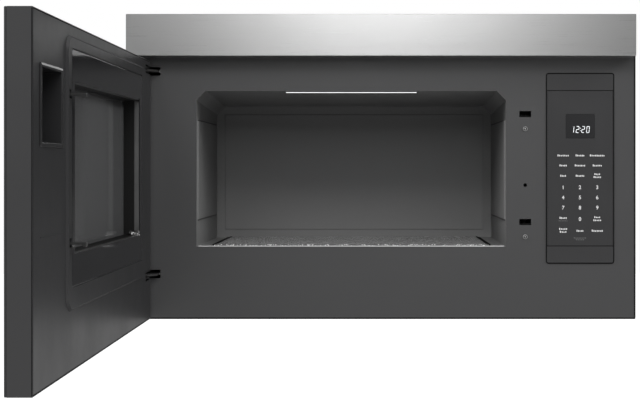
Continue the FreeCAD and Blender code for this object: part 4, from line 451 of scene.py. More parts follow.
# ---- cavity floor --------------------------------------------------------------------
# A plate of glass ceramic, grey with pale specks, lies over the stirrer's well.
# A strip of black rubber seals it to the cavity at each end.


def dotted_finish(name, scale, randomness, dot_edge, dot, ground, roughness):
    """Round dots on a plain ground, such as specks or punched holes."""
    made, shader = new_finish(name, Roughness=roughness)
    nodes, links = made.node_tree.nodes, made.node_tree.links
    place = nodes.new("ShaderNodeTexCoord")
    cells = nodes.new("ShaderNodeTexVoronoi")
    cells.inputs["Scale"].default_value = scale
    cells.inputs["Randomness"].default_value = randomness
    links.new(place.outputs["Object"], cells.inputs["Vector"])
    dots = nodes.new("ShaderNodeValToRGB")
    for stop, at, grey in zip(dots.color_ramp.elements, dot_edge, (dot, ground)):
        stop.position, stop.color = at, (grey, grey, grey, 1)
    links.new(cells.outputs["Distance"], dots.inputs["Fac"])
    links.new(dots.outputs["Color"], shader.inputs["Base Color"])
    return made


ceramic = dotted_finish("speckled_ceramic", 420, 1.0, (0.22, 0.42), 0.86, 0.11, 0.22)
frame["nodes"]["floor_plate"].material_slots[0].material = ceramic
rubber = with_film("black_rubber", PAINT, (0.005, 0.005, 0.005), Gloss=0.7, Peel=1.0, Shade=0.3,
                   Specular_IOR_Level=0.03)
frame["nodes"]["floor_seals"].material_slots[0].material = rubber

# A wider bead of the same rubber is pressed over each end of the plate.
plate_low, plate_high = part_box("floor_plate")
bead_width, bead_height, bead_end = 0.0034, 0.0005, 0.004
for label, edge, way in (("left", plate_low.x, 1), ("right", plate_high.x, -1)):
    ribbon(f"floor_bead_{label}", [(edge, y, plate_high.z) for y in
                                   (plate_low.y + bead_end, plate_high.y - bead_end)],
           [(way * bead_width, 0, 0)] * 2, (0, 0, bead_height), rubber, "casing")

# ---- stirrer under the floor ---------------------------------------------------------
# A shallow pan of aluminised steel closes the well under the ceramic plate. A bent sheet arm
# turns in it on the shaft of a small geared motor, and a square tube brings the waves to it.
aluminised = with_film("aluminised_sheet", GRAIN, (0.50, 0.51, 0.52), Gloss=0.38, Lines=0.5,
                       Shade=0.30, Stretch=(12, 70, 70), Metallic=0.95)
for sheet in ("stirrer_pan", "stirrer", "stirrer_motor", "waveguide"):
    eased(sheet, aluminised, radius=0.0003)

# ---- control panel -------------------------------------------------------------------
# A black moulding snaps into the frame; a satin sheet with printed keys covers its middle,
# and a tinted window lets the clock's light through. The board stands behind it.


def moulded_face():
    """Moulded plastic: the mould's fine spark-eroded grain, with faint flow marks."""
    mould, given = surface_group("moulded face", ("Grain", "Float"))
    place = mould.nodes.new("ShaderNodeTexCoord").outputs["Object"]
    spark = noise_in(mould, place, Scale=2400, Detail=2)
    flow = noise_in(mould, place, Scale=14, Detail=3, Distortion=0.8)
    surface_from(mould, given, spark, "Grain", flow, 0.16, 0.14)
    return mould


MOULDED = moulded_face()
bezel_black = with_film("bezel_black", MOULDED, (0.026, 0.026, 0.027), Gloss=0.42, Grain=0.8)
keypad_black = with_film("keypad_black", MOULDED, (0.027, 0.027, 0.028), Gloss=0.32, Grain=0.3)
window_tint = with_film("window_tint", MOULDED, (0.020, 0.020, 0.021), Gloss=0.14, Grain=0.05)
eased("control_bezel", bezel_black, radius=0.0006, turns=3)
eased("keypad_panel", keypad_black, radius=0.00015)
eased("display_window", window_tint, radius=0.0002)

bezel_low, bezel_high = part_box("control_bezel")
# Painted shade: a near-black line stands for the shaded gap round the bezel, and two more for the
# gaps along the key sheet's edges.
painted_gap_shade = plain_finish("painted_gap_shade", Base_Color=(0.004, 0.004, 0.004, 1), Roughness=0.8,
                            Specular_IOR_Level=0.15)
line, bend, gap_shade_proud = 0.0016, 0.0040, 0.00012
ring, ring_side = [], []
for x, z, dx, dz, start in ((bezel_high.x, bezel_high.z, -1, -1, 0),
                            (bezel_low.x, bezel_high.z, 1, -1, 90),
                            (bezel_low.x, bezel_low.z, 1, 1, 180),
                            (bezel_high.x, bezel_low.z, -1, 1, 270)):
    for step in range(5):
        angle = math.radians(start + 22.5 * step)
        out = Vector((math.cos(angle), 0, math.sin(angle)))
        centre = Vector((x + dx * bend, bezel_low.y, z + dz * bend))
        ring.append(centre + out * bend)
        ring_side.append(-out * line)
ribbon("panel_gap_shade", ring, ring_side, (0, -gap_shade_proud, 0), painted_gap_shade, "casing",
       closed=True)
sheet_low, sheet_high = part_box("keypad_panel")
seam = 0.0011
for name, z in (("panel_seam_upper", sheet_high.z), ("panel_seam_lower", sheet_low.z - seam)):
    ribbon(name, [(bezel_low.x + line, bezel_low.y, z), (bezel_high.x - line, bezel_low.y, z)],
           [(0, 0, seam)] * 2, (0, -0.0001, 0), painted_gap_shade, "casing")


def flat_marks(name, outlines, lift, finish, body):
    """Thin printed marks: outlines in X and Z, standing a hair off the plane at Y = lift."""
    shape, up = bmesh.new(), 0.00005
    for outline in outlines:
        front = [shape.verts.new((x, lift - up, z)) for x, z in outline]
        back = [shape.verts.new((x, lift, z)) for x, z in outline]
        shape.faces.new(front)
        shape.faces.new(back[::-1])
        for i in range(len(front)):
            j = (i + 1) % len(front)
            shape.faces.new((front[j], front[i], back[i], back[j]))
    bmesh.ops.recalc_face_normals(shape, faces=shape.faces)
    mesh = bpy.data.meshes.new(name)
    shape.to_mesh(mesh)
    shape.free()
    mesh.materials.append(finish)
    made = bpy.data.objects.new(name, mesh)
    bpy.context.collection.objects.link(made)
    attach(made, body)


def soft_bar(x, z, width, height):
    """The outline of a bar with cut corners, centred at x, z."""
    c = 0.35 * min(width, height)
    w, h = width / 2, height / 2
    return [(x - w + c, z - h), (x + w - c, z - h), (x + w, z - h + c), (x + w, z + h - c),
            (x + w - c, z + h), (x - w + c, z + h), (x - w, z + h - c), (x - w, z - h + c)]


def word_marks(x, z, width, tall=0.0026):
    """A row of small marks in place of a key's word: the first one taller."""
    count = max(3, round(width / 0.0024))
    step = width / count
    row = []
    for i in range(count):
        high = tall * (1.25 if i == 0 else 1.0 if i % 3 != 2 else 0.86)
        row.append(soft_bar(x - width / 2 + (i + 0.5) * step, z - tall / 2 + high / 2,
                            step * 0.66, high))
    return row


keypad_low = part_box("keypad_panel")[0]
key_columns = [keypad_low.x + mm / 1000 for mm in (23.0, 48.1, 73.8)]
print_face = keypad_low.y
light_print = plain_finish("light_print", Base_Color=(0.62, 0.62, 0.62, 1), Roughness=0.5)
faint_print = plain_finish("faint_print", Base_Color=(0.12, 0.12, 0.12, 1), Roughness=0.5)
words = []
for z_mm, widths in ((16.6, (17.6, 13.8, 22.6)), (1.7, (11.4, 16.0, 14.2)),
                     (-13.6, (9.2, 13.2, None)), (-76.4, (11.4, None, None)),
                     (-95.6, (None, 10.8, 17.2))):
    for x, width in zip(key_columns, widths):
        if width:
            words += word_marks(x, z_mm / 1000, width / 1000)
for column, z_mm, widths in ((2, -13.4, (9.0, 11.6)), (2, -77.6, (9.6, 12.2)),
                             (0, -95.0, (12.8, 10.6))):
    for width, shift in zip(widths, (2.2, -2.2)):
        words += word_marks(key_columns[column], (z_mm + shift) / 1000, width / 1000, 0.0024)
flat_marks("key_words", words, print_face, light_print, "casing")
small, small_tall = [], 0.0013
for column, z_mm, width in ((0, -80.6, 13.8), (1, -106.2, 19.0), (1, -108.8, 13.0)):
    small += word_marks(key_columns[column], z_mm / 1000, width / 1000, small_tall)
flat_marks("small_words", small, print_face, faint_print, "casing")

number_size, row_top_mm, row_pitch_mm, zero_z, print_thick = 0.0076, -30.9, 15.15, -0.0782, 0.00003
for number in range(10):
    row, column = divmod(number - 1, 3) if number else (3, 1)
    curve = bpy.data.curves.new(f"key_{number}", "FONT")
    curve.body = str(number)
    curve.size = number_size
    curve.align_x, curve.align_y = "CENTER", "CENTER"
    curve.extrude = print_thick
    curve.offset = 0.00012
    digit = bpy.data.objects.new(f"key_{number}", curve)
    digit.location = (key_columns[column], print_face - print_thick,
                      (row_top_mm - row_pitch_mm * row) / 1000 if row < 3 else zero_z)
    digit.rotation_euler = (math.pi / 2, 0, 0)
    curve.materials.append(light_print)
    bpy.context.collection.objects.link(digit)
    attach(digit, "casing")

clock_light = plain_finish("clock_light", Base_Color=(0.75, 0.77, 0.78, 1),
                           Emission_Color=(0.92, 0.95, 1.0, 1), Emission_Strength=0.62)
window_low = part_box("display_window")[0]
clock_lean = 0.09


def lit_segments(digit, x, z, width, height, bar):
    """The lit bars of a seven-bar numeral whose low left corner is at x, z."""
    lit = {"0": "abcdef", "1": "bc", "2": "abged"}[digit]
    w, h, b, g = width, height / 2, bar / 2, bar * 0.16
    flat = [(g, 0), (g + b, b), (w - g - b, b), (w - g, 0), (w - g - b, -b), (g + b, -b)]
    stand = [(0, g), (b, g + b), (b, h - g - b), (0, h - g), (-b, h - g - b), (-b, g + b)]
    corner = {"a": (flat, 0, 2 * h), "g": (flat, 0, h), "d": (flat, 0, 0),
              "f": (stand, 0, h), "b": (stand, w, h), "e": (stand, 0, 0), "c": (stand, w, 0)}
    shapes = []
    for name in lit:
        outline, dx, dz = corner[name]
        shapes.append([(x + dx + px + clock_lean * (dz + pz), z + dz + pz)
                       for px, pz in outline])
    return shapes


clock_z = window_low.z + 0.0084
digit_width, digit_height, digit_bar = 0.0038, 0.0092, 0.00068
clock = []
for digit, start in (("1", 0.0074), ("2", 0.0150), ("2", 0.0233), ("0", 0.0305)):
    clock += lit_segments(digit, window_low.x + start, clock_z, digit_width, digit_height,
                          digit_bar)
colon_x, colon_dot = window_low.x + 0.0211, 0.0010
for dz in (0.0030, 0.0066):
    clock.append(soft_bar(colon_x + clock_lean * dz, clock_z + dz, colon_dot, colon_dot))
flat_marks("clock_time", clock, window_low.y, clock_light, "casing")

board_green, board_shader = new_finish("board_green", Roughness=0.35)
nodes, links = board_green.node_tree.nodes, board_green.node_tree.links
place = nodes.new("ShaderNodeTexCoord")
tracks = nodes.new("ShaderNodeTexBrick")
for socket, value in (("Scale", 90), ("Mortar Size", 0.012), ("Mortar", (0.03, 0.20, 0.08, 1)),
                      ("Color1", (0.012, 0.10, 0.035, 1)), ("Color2", (0.018, 0.14, 0.05, 1))):
    tracks.inputs[socket].default_value = value
links.new(place.outputs["Object"], tracks.inputs["Vector"])
links.new(tracks.outputs["Color"], board_shader.inputs["Base Color"])
for board in ("control_board", "noise_filter_board"):
    frame["nodes"][board].material_slots[0].material = board_green

# ---- door latch board and switches ---------------------------------------------------
# A moulded plate screwed behind the frame, with a ledge for each hook. Three small switches
# clip to it, and each has a plunger that a hook's nose pushes in.
# The board, the switches and the plungers are all but black: painted shade for the frame's slots
# that they sit behind.
latch_black = with_film("latch_black", MOULDED, (0.004, 0.004, 0.004), Gloss=0.6, Grain=0.8,
                        Specular_IOR_Level=0.2)
switch_painted_shade = with_film("switch_painted_shade", MOULDED, (0.006, 0.006, 0.006), Gloss=0.6, Grain=0.4,
                        Specular_IOR_Level=0.2)
plunger_painted_shade = with_film("plunger_painted_shade", MOULDED, (0.008, 0.008, 0.008), Gloss=0.5, Grain=0.2,
                         Specular_IOR_Level=0.25)
eased("latch_board", latch_black, radius=0.0004)
eased("door_switches", switch_painted_shade, radius=0.0003)
for plunger in ("primary", "monitor", "secondary"):
    eased(f"{plunger}_switch_plunger", plunger_painted_shade, radius=0.0003, turns=3)

# ---- hinges --------------------------------------------------------------------------
# Each is a plate that comes out through a slot of the frame, welded to a foot behind it.
# A turned pin through its end carries the door's ears.
hinge_metal = with_film("hinge_metal", GRAIN, (0.26, 0.26, 0.26), Gloss=0.34, Lines=0.6, Shade=0.3,
                        Stretch=(70, 12, 70), Metallic=1.0)
# The arms take a darker copy of the hinge steel: painted shade for the frame's slots they stand
# in.
arm_metal_painted_shade = with_film("arm_metal_painted_shade", GRAIN, (0.12, 0.12, 0.12), Gloss=0.42, Lines=0.6, Shade=0.3,
                      Stretch=(70, 12, 70), Metallic=0.9)
eased("hinge_arms", arm_metal_painted_shade, radius=0.0006, turns=3)
eased("hinge_pins", hinge_metal, radius=0.0004)

# ---- magnetron and high-voltage parts ------------------------------------------------
# The magnetron's cooling fins sit between two magnet plates. The transformer is a stack of
# sheets round two coils; the capacitor is a flat can and the diode a moulded stick.
copper, copper_shader = new_finish("enamelled_winding", Roughness=0.42, Metallic=0.5)
nodes, links = copper.node_tree.nodes, copper.node_tree.links
place = nodes.new("ShaderNodeTexCoord")
layers = nodes.new("ShaderNodeTexWave")
layers.wave_type, layers.bands_direction = "BANDS", "Z"
layers.inputs["Scale"].default_value = 160
layers.inputs["Distortion"].default_value = 0.6
links.new(place.outputs["Object"], layers.inputs["Vector"])
tones = nodes.new("ShaderNodeValToRGB")
tones.color_ramp.elements[0].color = (0.09, 0.075, 0.07, 1)
tones.color_ramp.elements[1].color = (0.20, 0.17, 0.15, 1)
links.new(layers.outputs["Fac"], tones.inputs["Fac"])
links.new(tones.outputs["Color"], copper_shader.inputs["Base Color"])
ridges = nodes.new("ShaderNodeBump")
ridges.inputs["Distance"].default_value = 0.0002
links.new(layers.outputs["Fac"], ridges.inputs["Height"])
links.new(ridges.outputs["Normal"], copper_shader.inputs["Normal"])
eased("magnetron", aluminised, radius=0.0003)
eased("high_voltage_transformer", copper, radius=0.0006)
can_metal = with_film("can_metal", GRAIN, (0.46, 0.47, 0.48), Gloss=0.3, Lines=0.4, Shade=0.2,
                      Stretch=(40, 40, 8), Metallic=1.0)
eased("high_voltage_capacitor", can_metal, radius=0.0008, turns=3)
eased("high_voltage_diode", latch_black, radius=0.0006)

# ---- cooling fan ---------------------------------------------------------------------
# A plate with a round opening holds an open-frame motor on two bars. A moulded five-blade
# fan on its shaft draws room air over the magnetron.
fan_grey = with_film("fan_grey", MOULDED, (0.07, 0.07, 0.075), Gloss=0.42, Grain=0.6)
eased("cooling_fan_bracket", aluminised, radius=0.0003)
eased("cooling_fan_motor", copper, radius=0.0006)
eased("cooling_fan_blade", fan_grey, radius=0.0003)

# ---- vent blower ---------------------------------------------------------------------
# A motor with a wheel at each end, each wheel in its own scroll housing. A collar on the top
# sheet leads the air to the duct, through a flap that falls shut when the blower stops.
for piece in ("blower_motor", "blower_housings", "exhaust_collar"):
    eased(piece, aluminised, radius=0.0003)
eased("exhaust_flap", aluminised, radius=0.0002)
eased("blower_wheels", fan_grey, radius=0.0002)
eased("blower_shaft", hinge_metal, radius=0.0004)

# ---- grease filters ------------------------------------------------------------------
# Each is a pack of expanded aluminium mesh in a folded frame, slid up into the base sheet.
# The mesh is drawn as crossing strands over the pack.
filter_metal = with_film("filter_metal", GRAIN, (0.58, 0.59, 0.60), Gloss=0.34, Lines=0.4,
                         Shade=0.3, Stretch=(60, 60, 60), Metallic=1.0)
rim, row_pitch, half_step, strand = 0.010, 0.0046, 0.0045, 0.0009
strand_lift, strand_wave = 0.0017, 0.0003
for side in ("left", "right"):
    eased(f"grease_filter_{side}", filter_metal, radius=0.0004)
    low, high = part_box(f"grease_filter_{side}")
    across = int((high.x - low.x - 2 * rim) / half_step)
    rows = int((high.y - low.y - 2 * rim) / row_pitch)
    points, faces = [], []
    for row in range(rows):
        for i in range(across + 1):
            lean = 1 if (i + row) % 2 else -1
            x = low.x + rim + i * half_step
            y = low.y + rim + (row + 0.5) * row_pitch + lean * (row_pitch / 2 - strand * 0.3)
            z = low.z + strand_lift + strand_wave * lean
            points += [(x, y - strand / 2, z), (x, y + strand / 2, z),
                       (x, y + strand / 2, z + strand), (x, y - strand / 2, z + strand)]
            if i:
                new, old = len(points) - 4, len(points) - 8
                faces += [(old + k, old + (k + 1) % 4, new + (k + 1) % 4, new + k)
                          for k in range(4)]
        first, last = len(points) - 4 * (across + 1), len(points) - 4
        faces += [(first + 3, first + 2, first + 1, first), (last, last + 1, last + 2, last + 3)]
    strands = piece_from(f"filter_strands_{side}", points, faces)
    strands.data.materials.append(filter_metal)
    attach(strands, f"grease_filter_{side}")

# ---- cooktop lamp --------------------------------------------------------------------
# A small lamp in a steel cup lights the range below, through a lens that sits flush in the
# base sheet. The lens is moulded in clear plastic with ribs across its outside.
lens_plastic = plain_finish("lens_plastic", Base_Color=(0.86, 0.88, 0.88, 1), Roughness=0.25,
                            Transmission_Weight=0.7)
eased("cooktop_lamp_lens", lens_plastic, radius=0.0005)
low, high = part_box("cooktop_lamp_lens")
border, pitch, rib_height = 0.0085, 0.0040, 0.0009
rib_half_width = pitch * 0.46
points, faces = [], []
for step in range(int((high.x - low.x - 2 * border) / pitch)):
    x = low.x + border + (step + 0.5) * pitch
    arch = [(x + rib_half_width * math.cos(a), low.z - rib_height * math.sin(a))
            for a in (math.pi * k / 8 for k in range(9))]
    first = len(points)
    for y in (low.y + border, high.y - border):
        points += [(px, y, pz) for px, pz in arch]
    faces += [(first + k, first + k + 1, first + k + 10, first + k + 9) for k in range(8)]
    faces += [tuple(range(first + 8, first - 1, -1)), tuple(range(first + 9, first + 18)),
              (first, first + 9, first + 17, first + 8)]
ribs = piece_from("lens_ribs", points, faces)
ribs.data.materials.append(lens_plastic)
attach(ribs, "casing")
eased("cooktop_lamp", aluminised, radius=0.0003)

# ---- cord bush and screws ------------------------------------------------------------
# A grommet of black rubber lines the hole that the supply lead goes through.
# Zinc-plated pan-head screws hold the sheets and the latch board.
eased("cord_bush", rubber, radius=0.0006, turns=3)
screw_zinc = with_film("screw_zinc", GRAIN, (0.20, 0.20, 0.20), Gloss=0.36, Lines=0.4, Shade=0.2,
                       Stretch=(120, 120, 120), Metallic=1.0)


def pan_head(shape, seat, outward, radius, height, turned):
    """A screw's domed head with a cross recess; seat is the middle of its underside."""
    outward = Vector(outward).normalized()
    across = outward.orthogonal().normalized()
    across.rotate(Matrix.Rotation(turned, 3, outward))
    up = outward.cross(across)
    wide, reach = radius * 0.17, radius * 0.60
    quarter = [(wide, reach), (wide, wide), (reach, wide)]
    cross = []
    for turn in range(4):
        c, s = (1, 0, -1, 0)[turn], (0, 1, 0, -1)[turn]
        cross += [(x * c + y * s, -x * s + y * c) for x, y in quarter]
    outline = []
    for i in range(12):
        (ax, ay), (bx, by) = cross[i], cross[(i + 1) % 12]
        outline += [(ax, ay), ((ax + bx) / 2, (ay + by) / 2)]
    angles = [math.atan2(y, x) for x, y in outline]

    def ring(points, level):
        return [shape.verts.new(seat + across * x + up * y + outward * level)
                for x, y in points]

    def circle(share):
        return [(math.cos(a) * radius * share, math.sin(a) * radius * share) for a in angles]

    rings = [ring([(x * 0.72, y * 0.72) for x, y in outline], height * 0.35),
             ring(outline, height), ring(circle(0.74), height * 0.97),
             ring(circle(0.90), height * 0.80), ring(circle(1.0), height * 0.48),
             ring(circle(1.0), 0.0)]
    for inner, outer in zip(rings, rings[1:]):
        for i in range(24):
            j = (i + 1) % 24
            shape.faces.new((inner[i], inner[j], outer[j], outer[i]))
    shape.faces.new(rings[0])
    shape.faces.new(rings[-1][::-1])


def islands(node):
    """The boxes of a node's separate solids."""
    shape = bmesh.new()
    shape.from_mesh(frame["nodes"][node].data)
    bmesh.ops.remove_doubles(shape, verts=shape.verts, dist=2e-6)
    left, boxes = set(shape.verts), []
    while left:
        stack, part = [left.pop()], []
        while stack:
            vert = stack.pop()
            part.append(vert.co.copy())
            for edge in vert.link_edges:
                other = edge.other_vert(vert)
                if other in left:
                    left.discard(other)
                    stack.append(other)
        boxes.append((Vector(map(min, zip(*part))), Vector(map(max, zip(*part)))))
    shape.free()
    return sorted(boxes, key=lambda box: tuple(box[0]))


heads = bmesh.new()
case_low, case_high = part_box("top_panel")
reach_out, shank_radius, turn_between = 1e-5, 0.0016, 0.9
for index, (low, high) in enumerate(islands("casing_screws")):
    middle, span = (low + high) / 2, high - low
    turned = turn_between * index
    if low.x < case_low.x - reach_out:
        pan_head(heads, Vector((case_low.x, middle.y, middle.z)), (-1, 0, 0),
                 span.z / 2, case_low.x - low.x, turned)
    elif high.x > case_high.x + reach_out:
        pan_head(heads, Vector((case_high.x, middle.y, middle.z)), (1, 0, 0),
                 span.z / 2, high.x - case_high.x, turned)
    else:
        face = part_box("front_frame")[0].y
        radius, height, steps = span.z / 2, face - low.y, 24
        profile = ((1.0, 0.0), (1.0, 0.45), (0.92, 0.85), (0.80, 1.0), (0.70, 1.0), (0.66, 0.3),
                   (0.40, 0.3), (0.36, 0.9), (0.22, 1.0))
        turned_rings = [[heads.verts.new((middle.x + radius * share * math.cos(a),
                                          face - height * level,
                                          middle.z + radius * share * math.sin(a)))
                         for a in (2 * math.pi * k / steps for k in range(steps))]
                        for share, level in profile]
        # Painted shade: the walls and floor of the ring groove in each head take the deep black;
        # the rest is bright zinc.
        for number, (outer, inner) in enumerate(zip(turned_rings, turned_rings[1:])):
            for i in range(steps):
                j = (i + 1) % steps
                made = heads.faces.new((outer[i], outer[j], inner[j], inner[i]))
                made.material_index = 2 if number in (4, 5, 6) else 1
        heads.faces.new(turned_rings[-1]).material_index = 1
        heads.faces.new(turned_rings[0][::-1]).material_index = 1
        shank = [Vector((math.cos(a), 0, math.sin(a))) * shank_radius
                 for a in (math.pi / 4 * k for k in range(8))]
        rings = [[heads.verts.new(Vector((middle.x, y, middle.z)) + point) for point in shank]
                 for y in (face, high.y)]
        for i in range(8):
            j = (i + 1) % 8
            heads.faces.new((rings[0][i], rings[0][j], rings[1][j], rings[1][i]))
        heads.faces.new(rings[0])
        heads.faces.new(rings[1])
bmesh.ops.recalc_face_normals(heads, faces=heads.faces)
screw_mesh = bpy.data.meshes.new("case_screws")
heads.to_mesh(screw_mesh)
heads.free()
screw_mesh.shade_smooth()
screw_mesh.set_sharp_from_angle(angle=math.radians(35))
bright_zinc = with_film("bright_zinc", GRAIN, (0.26, 0.26, 0.26), Gloss=0.36, Lines=0.3, Shade=0.2,
                        Stretch=(120, 120, 120), Metallic=0.25)
for finish in (screw_zinc, bright_zinc, painted_shade_black):
    screw_mesh.materials.append(finish)
screws = bpy.data.objects.new("case_screws", screw_mesh)
bpy.context.collection.objects.link(screws)
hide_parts("casing_screws")
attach(screws, "casing")

# ---- door: outer glass and shell -----------------------------------------------------
# A sheet of tempered glass, printed black on its back round a smoked window, is bonded to a
# moulded shell that makes the door's edges.
glass_black = plain_finish("printed_glass", Base_Color=(0.010, 0.010, 0.011, 1), Roughness=0.06,
                           Coat_Weight=0.6, Coat_Roughness=0.03)
outer_pane = eased("door_outer_glass", glass_black, radius=0.0005)


def tinted_glass(name, tint, roughness, blend, seen_square, seen_slant):
    """Glass that hides more of what is behind it the more it is looked along."""
    made, shader = new_finish(name, Base_Color=(*tint, 1), Roughness=roughness)
    nodes, links = made.node_tree.nodes, made.node_tree.links
    tilt, cover = nodes.new("ShaderNodeLayerWeight"), nodes.new("ShaderNodeMapRange")
    tilt.inputs["Blend"].default_value = blend
    cover.inputs["To Min"].default_value = seen_square
    cover.inputs["To Max"].default_value = seen_slant
    links.new(tilt.outputs["Facing"], cover.inputs["Value"])
    links.new(cover.outputs["Result"], shader.inputs["Alpha"])
    return made


smoked = tinted_glass("smoked_glass", (0.006, 0.006, 0.007), 0.05, 0.4, 0.72, 0.97)
ground_edge = with_film("ground_edge", MOULDED, (0.024, 0.025, 0.026), Gloss=0.5, Grain=0.3)
for finish in (smoked, ground_edge):
    outer_pane.data.materials.append(finish)
window_edge = 0.004
smoked_low, smoked_high = (Vector(end) + way * Vector((0, window_edge, window_edge))
                           for end, way in zip(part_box("door_screen"), (-1, 1)))


def glass_area(face):
    """Nought for the printed black, one inside the smoked window, two for the sheet's edges."""
    middle = face.calc_center_median()
    if abs(face.normal.x) < 0.5:
        return 2
    return int(smoked_low.y < middle.y < smoked_high.y and smoked_low.z < middle.z < smoked_high.z)


cut_and_sort(outer_pane, [(corner, axis) for axis in ((0, 1, 0), (0, 0, 1))
                          for corner in (smoked_low, smoked_high)], glass_area)
shell_charcoal = with_film("shell_charcoal", PAINT, (0.035, 0.035, 0.036), Gloss=0.42, Peel=0.7,
                           Shade=0.08)
eased("door_shell", shell_charcoal, radius=0.0006)
shell_low, shell_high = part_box("door_shell")
# Painted shade: a deep black strip on the end face marks the shaded seam where the shell meets the
# skin.
seam_width, seam_proud, seam_end = 0.0011, 0.00015, 0.0015
seam_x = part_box("door_inner_skin")[1].x - 0.0013
ribbon("door_edge_seam", [(seam_x, shell_low.y, z)
                          for z in (shell_low.z + seam_end, shell_high.z - seam_end)],
       [(seam_width, 0, 0)] * 2, (0, -seam_proud, 0), painted_shade_black, "door")

# ---- door: inner skin, pan and pad ---------------------------------------------------
# The inside is a pressed steel skin over a pan that holds the choke. A raised pad stands on
# it round the window, and a glossy surround is set in the pad.
skin_charcoal = with_film("skin_charcoal", PAINT, (0.026, 0.026, 0.027), Gloss=0.36, Peel=0.5,
                          Shade=0.08, Specular_IOR_Level=0.35)
eased("door_inner_skin", skin_charcoal, radius=0.0003)
skin_low, skin_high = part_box("door_inner_skin")
# Painted shade: a near-black line stands for the shaded groove round the skin's top, free end and
# bottom.
groove, groove_proud, hinge_end = 0.0010, 0.00012, -0.398
ribbon("skin_groove", [(skin_high.x, y, z) for y, z in ((hinge_end, skin_high.z),
                                                        (skin_low.y, skin_high.z),
                                                        (skin_low.y, skin_low.z),
                                                        (hinge_end, skin_low.z))],
       [(0, 0, groove), (0, -groove, groove), (0, -groove, -groove), (0, 0, -groove)],
       (groove_proud, 0, 0), painted_gap_shade, "door")
crease_z, crease, crease_proud = -0.0712, 0.0012, 0.0005
ribbon("skin_crease", [(skin_high.x, y, crease_z) for y in
                       (skin_low.y + 0.030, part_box("door_pad")[0].y - 0.002)],
       [(0, 0, crease)] * 2, (crease_proud, 0, 0), ground_edge, "door")
choke_black = with_film("choke_black", PAINT, (0.006, 0.006, 0.006), Gloss=0.5, Peel=0.6,
                        Shade=0.1, Specular_IOR_Level=0.25)
eased("door_pan", choke_black, radius=0.0003)
pad = eased("door_pad", skin_charcoal, radius=0.0004)
# The pad's flanks that face up and down take a lighter, duller copy of the skin's paint: painted
# light on them.
pad_flank_painted_light = with_film("pad_flank_painted_light", PAINT, (0.050, 0.050, 0.051), Gloss=0.7, Peel=0.5, Shade=0.08,
                      Specular_IOR_Level=0.08)
pad.data.materials.append(pad_flank_painted_light)
for face in pad.data.polygons:
    if abs(face.normal.z) > 0.3:
        face.material_index = 1
gloss_black = with_film("gloss_black", MOULDED, (0.012, 0.012, 0.013), Gloss=0.06, Grain=0.03,
                        Specular_IOR_Level=0.4)
eased("window_surround", gloss_black, radius=0.0009, turns=3)

# ---- door: window --------------------------------------------------------------------
# A perforated steel screen keeps the waves in; a clear inner pane keeps it clean, and a
# bright reveal frames them.
screen_metal = dotted_finish("perforated_screen", 620, 0.0, (0.34, 0.42), 0.02, 0.15, 0.45)
frame["nodes"]["door_screen"].material_slots[0].material = screen_metal
clear_pane = tinted_glass("clear_pane", (0.105, 0.106, 0.108), 0.08, 0.5, 0.16, 0.86)
eased("door_inner_glass", clear_pane, radius=0.0003)
reveal_metal = with_film("reveal_metal", GRAIN, (0.17, 0.17, 0.17), Gloss=0.38, Lines=0.3,
                         Shade=0.2, Stretch=(60, 8, 60), Metallic=0.8)
eased("window_reveal", reveal_metal, radius=0.0003)

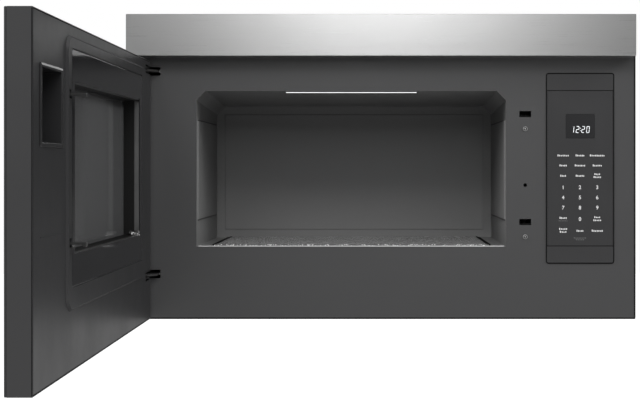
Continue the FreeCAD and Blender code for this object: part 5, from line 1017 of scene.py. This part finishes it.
# Crumpled foil earths the reveal at its lower corner by the hinges. The upper clip takes the
# choke's black instead of steel: painted shade.
clip_steel = with_film("clip_steel", GRAIN, (0.70, 0.70, 0.70), Gloss=0.16, Lines=0.3, Shade=0.3,
                       Stretch=(90, 90, 90), Metallic=1.0)
surround_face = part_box("window_surround")[1].x
reveal_low, reveal_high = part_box("window_reveal")
rows, columns, wall = 9, 7, reveal_high.y - 0.0043
clip_start, clip_overlap, leaf_thickness = surround_face + 0.0006, 0.0008, 0.0004
for label, edge, way, finish, (depth, reach, rise) in (
        ("lower", reveal_low.z, 1, clip_steel, (0.0150, 0.0085, 0.0026)),
        ("upper", reveal_high.z, -1, choke_black, (0.0120, 0.0035, 0.0012))):
    points, faces = [], []
    for i in range(rows + 1):
        for j in range(columns + 1):
            fold = 0.5 + 0.5 * math.cos(i * 2.4 + j * 1.9 + math.sin(i * j))
            points.append((clip_start - depth * i / rows, wall - rise * fold,
                           edge + way * (reach * j / columns - clip_overlap)))
    for i in range(rows):
        for j in range(columns):
            a = (columns + 1) * i + j
            corners = (a, a + 1, a + columns + 2, a + columns + 1)
            faces.append(corners if way > 0 else corners[::-1])
    clip = piece_from(f"reveal_clip_{label}", points, faces)
    leaf = clip.modifiers.new("leaf", "SOLIDIFY")
    leaf.thickness, leaf.offset = leaf_thickness, 1.0
    clip.data.materials.append(finish)
    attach(clip, "door")

# ---- door: clock well, hinge ears and latch ------------------------------------------
# A black well lets the clock show through the shut door. Riveted ears carry the pins, and
# both hooks are one moulding that slides in a guide against a small spring.
well_black = with_film("well_black", MOULDED, (0.024, 0.024, 0.025), Gloss=0.14, Grain=0.1)
eased("display_well", well_black, radius=0.0010, turns=3)
well_low, well_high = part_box("display_well")
slope_top, slope_low = well_high.z - 0.0004, well_high.z - 0.0026
lean_out, slope_end = 0.00045, 0.002
points = [(well_high.x + out, y, z) for y in (well_low.y + slope_end, well_high.y - slope_end)
          for out, z in ((0, slope_top), (lean_out, slope_low), (0, slope_low))]
rim_slope = piece_from("well_rim_slope", points,
                       [(0, 1, 4, 3), (1, 2, 5, 4), (2, 0, 3, 5), (2, 1, 0), (3, 4, 5)])
faced_outward(rim_slope.data)
rim_slope.data.materials.append(gloss_black)
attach(rim_slope, "door")
eased("door_hinge_plates", hinge_metal, radius=0.0003)
eased("latch_guide", latch_black, radius=0.0003)
hook_black = with_film("hook_black", MOULDED, (0.030, 0.030, 0.030), Gloss=0.16, Grain=0.1)
eased("latch_hooks", hook_black, radius=0.0005, turns=3)
spring_wire = with_film("spring_wire", GRAIN, (0.45, 0.45, 0.45), Gloss=0.28, Lines=0.3, Shade=0.2,
                        Stretch=(90, 90, 90), Metallic=1.0)
frame["nodes"]["latch_spring"].material_slots[0].material = spring_wire

low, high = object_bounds()
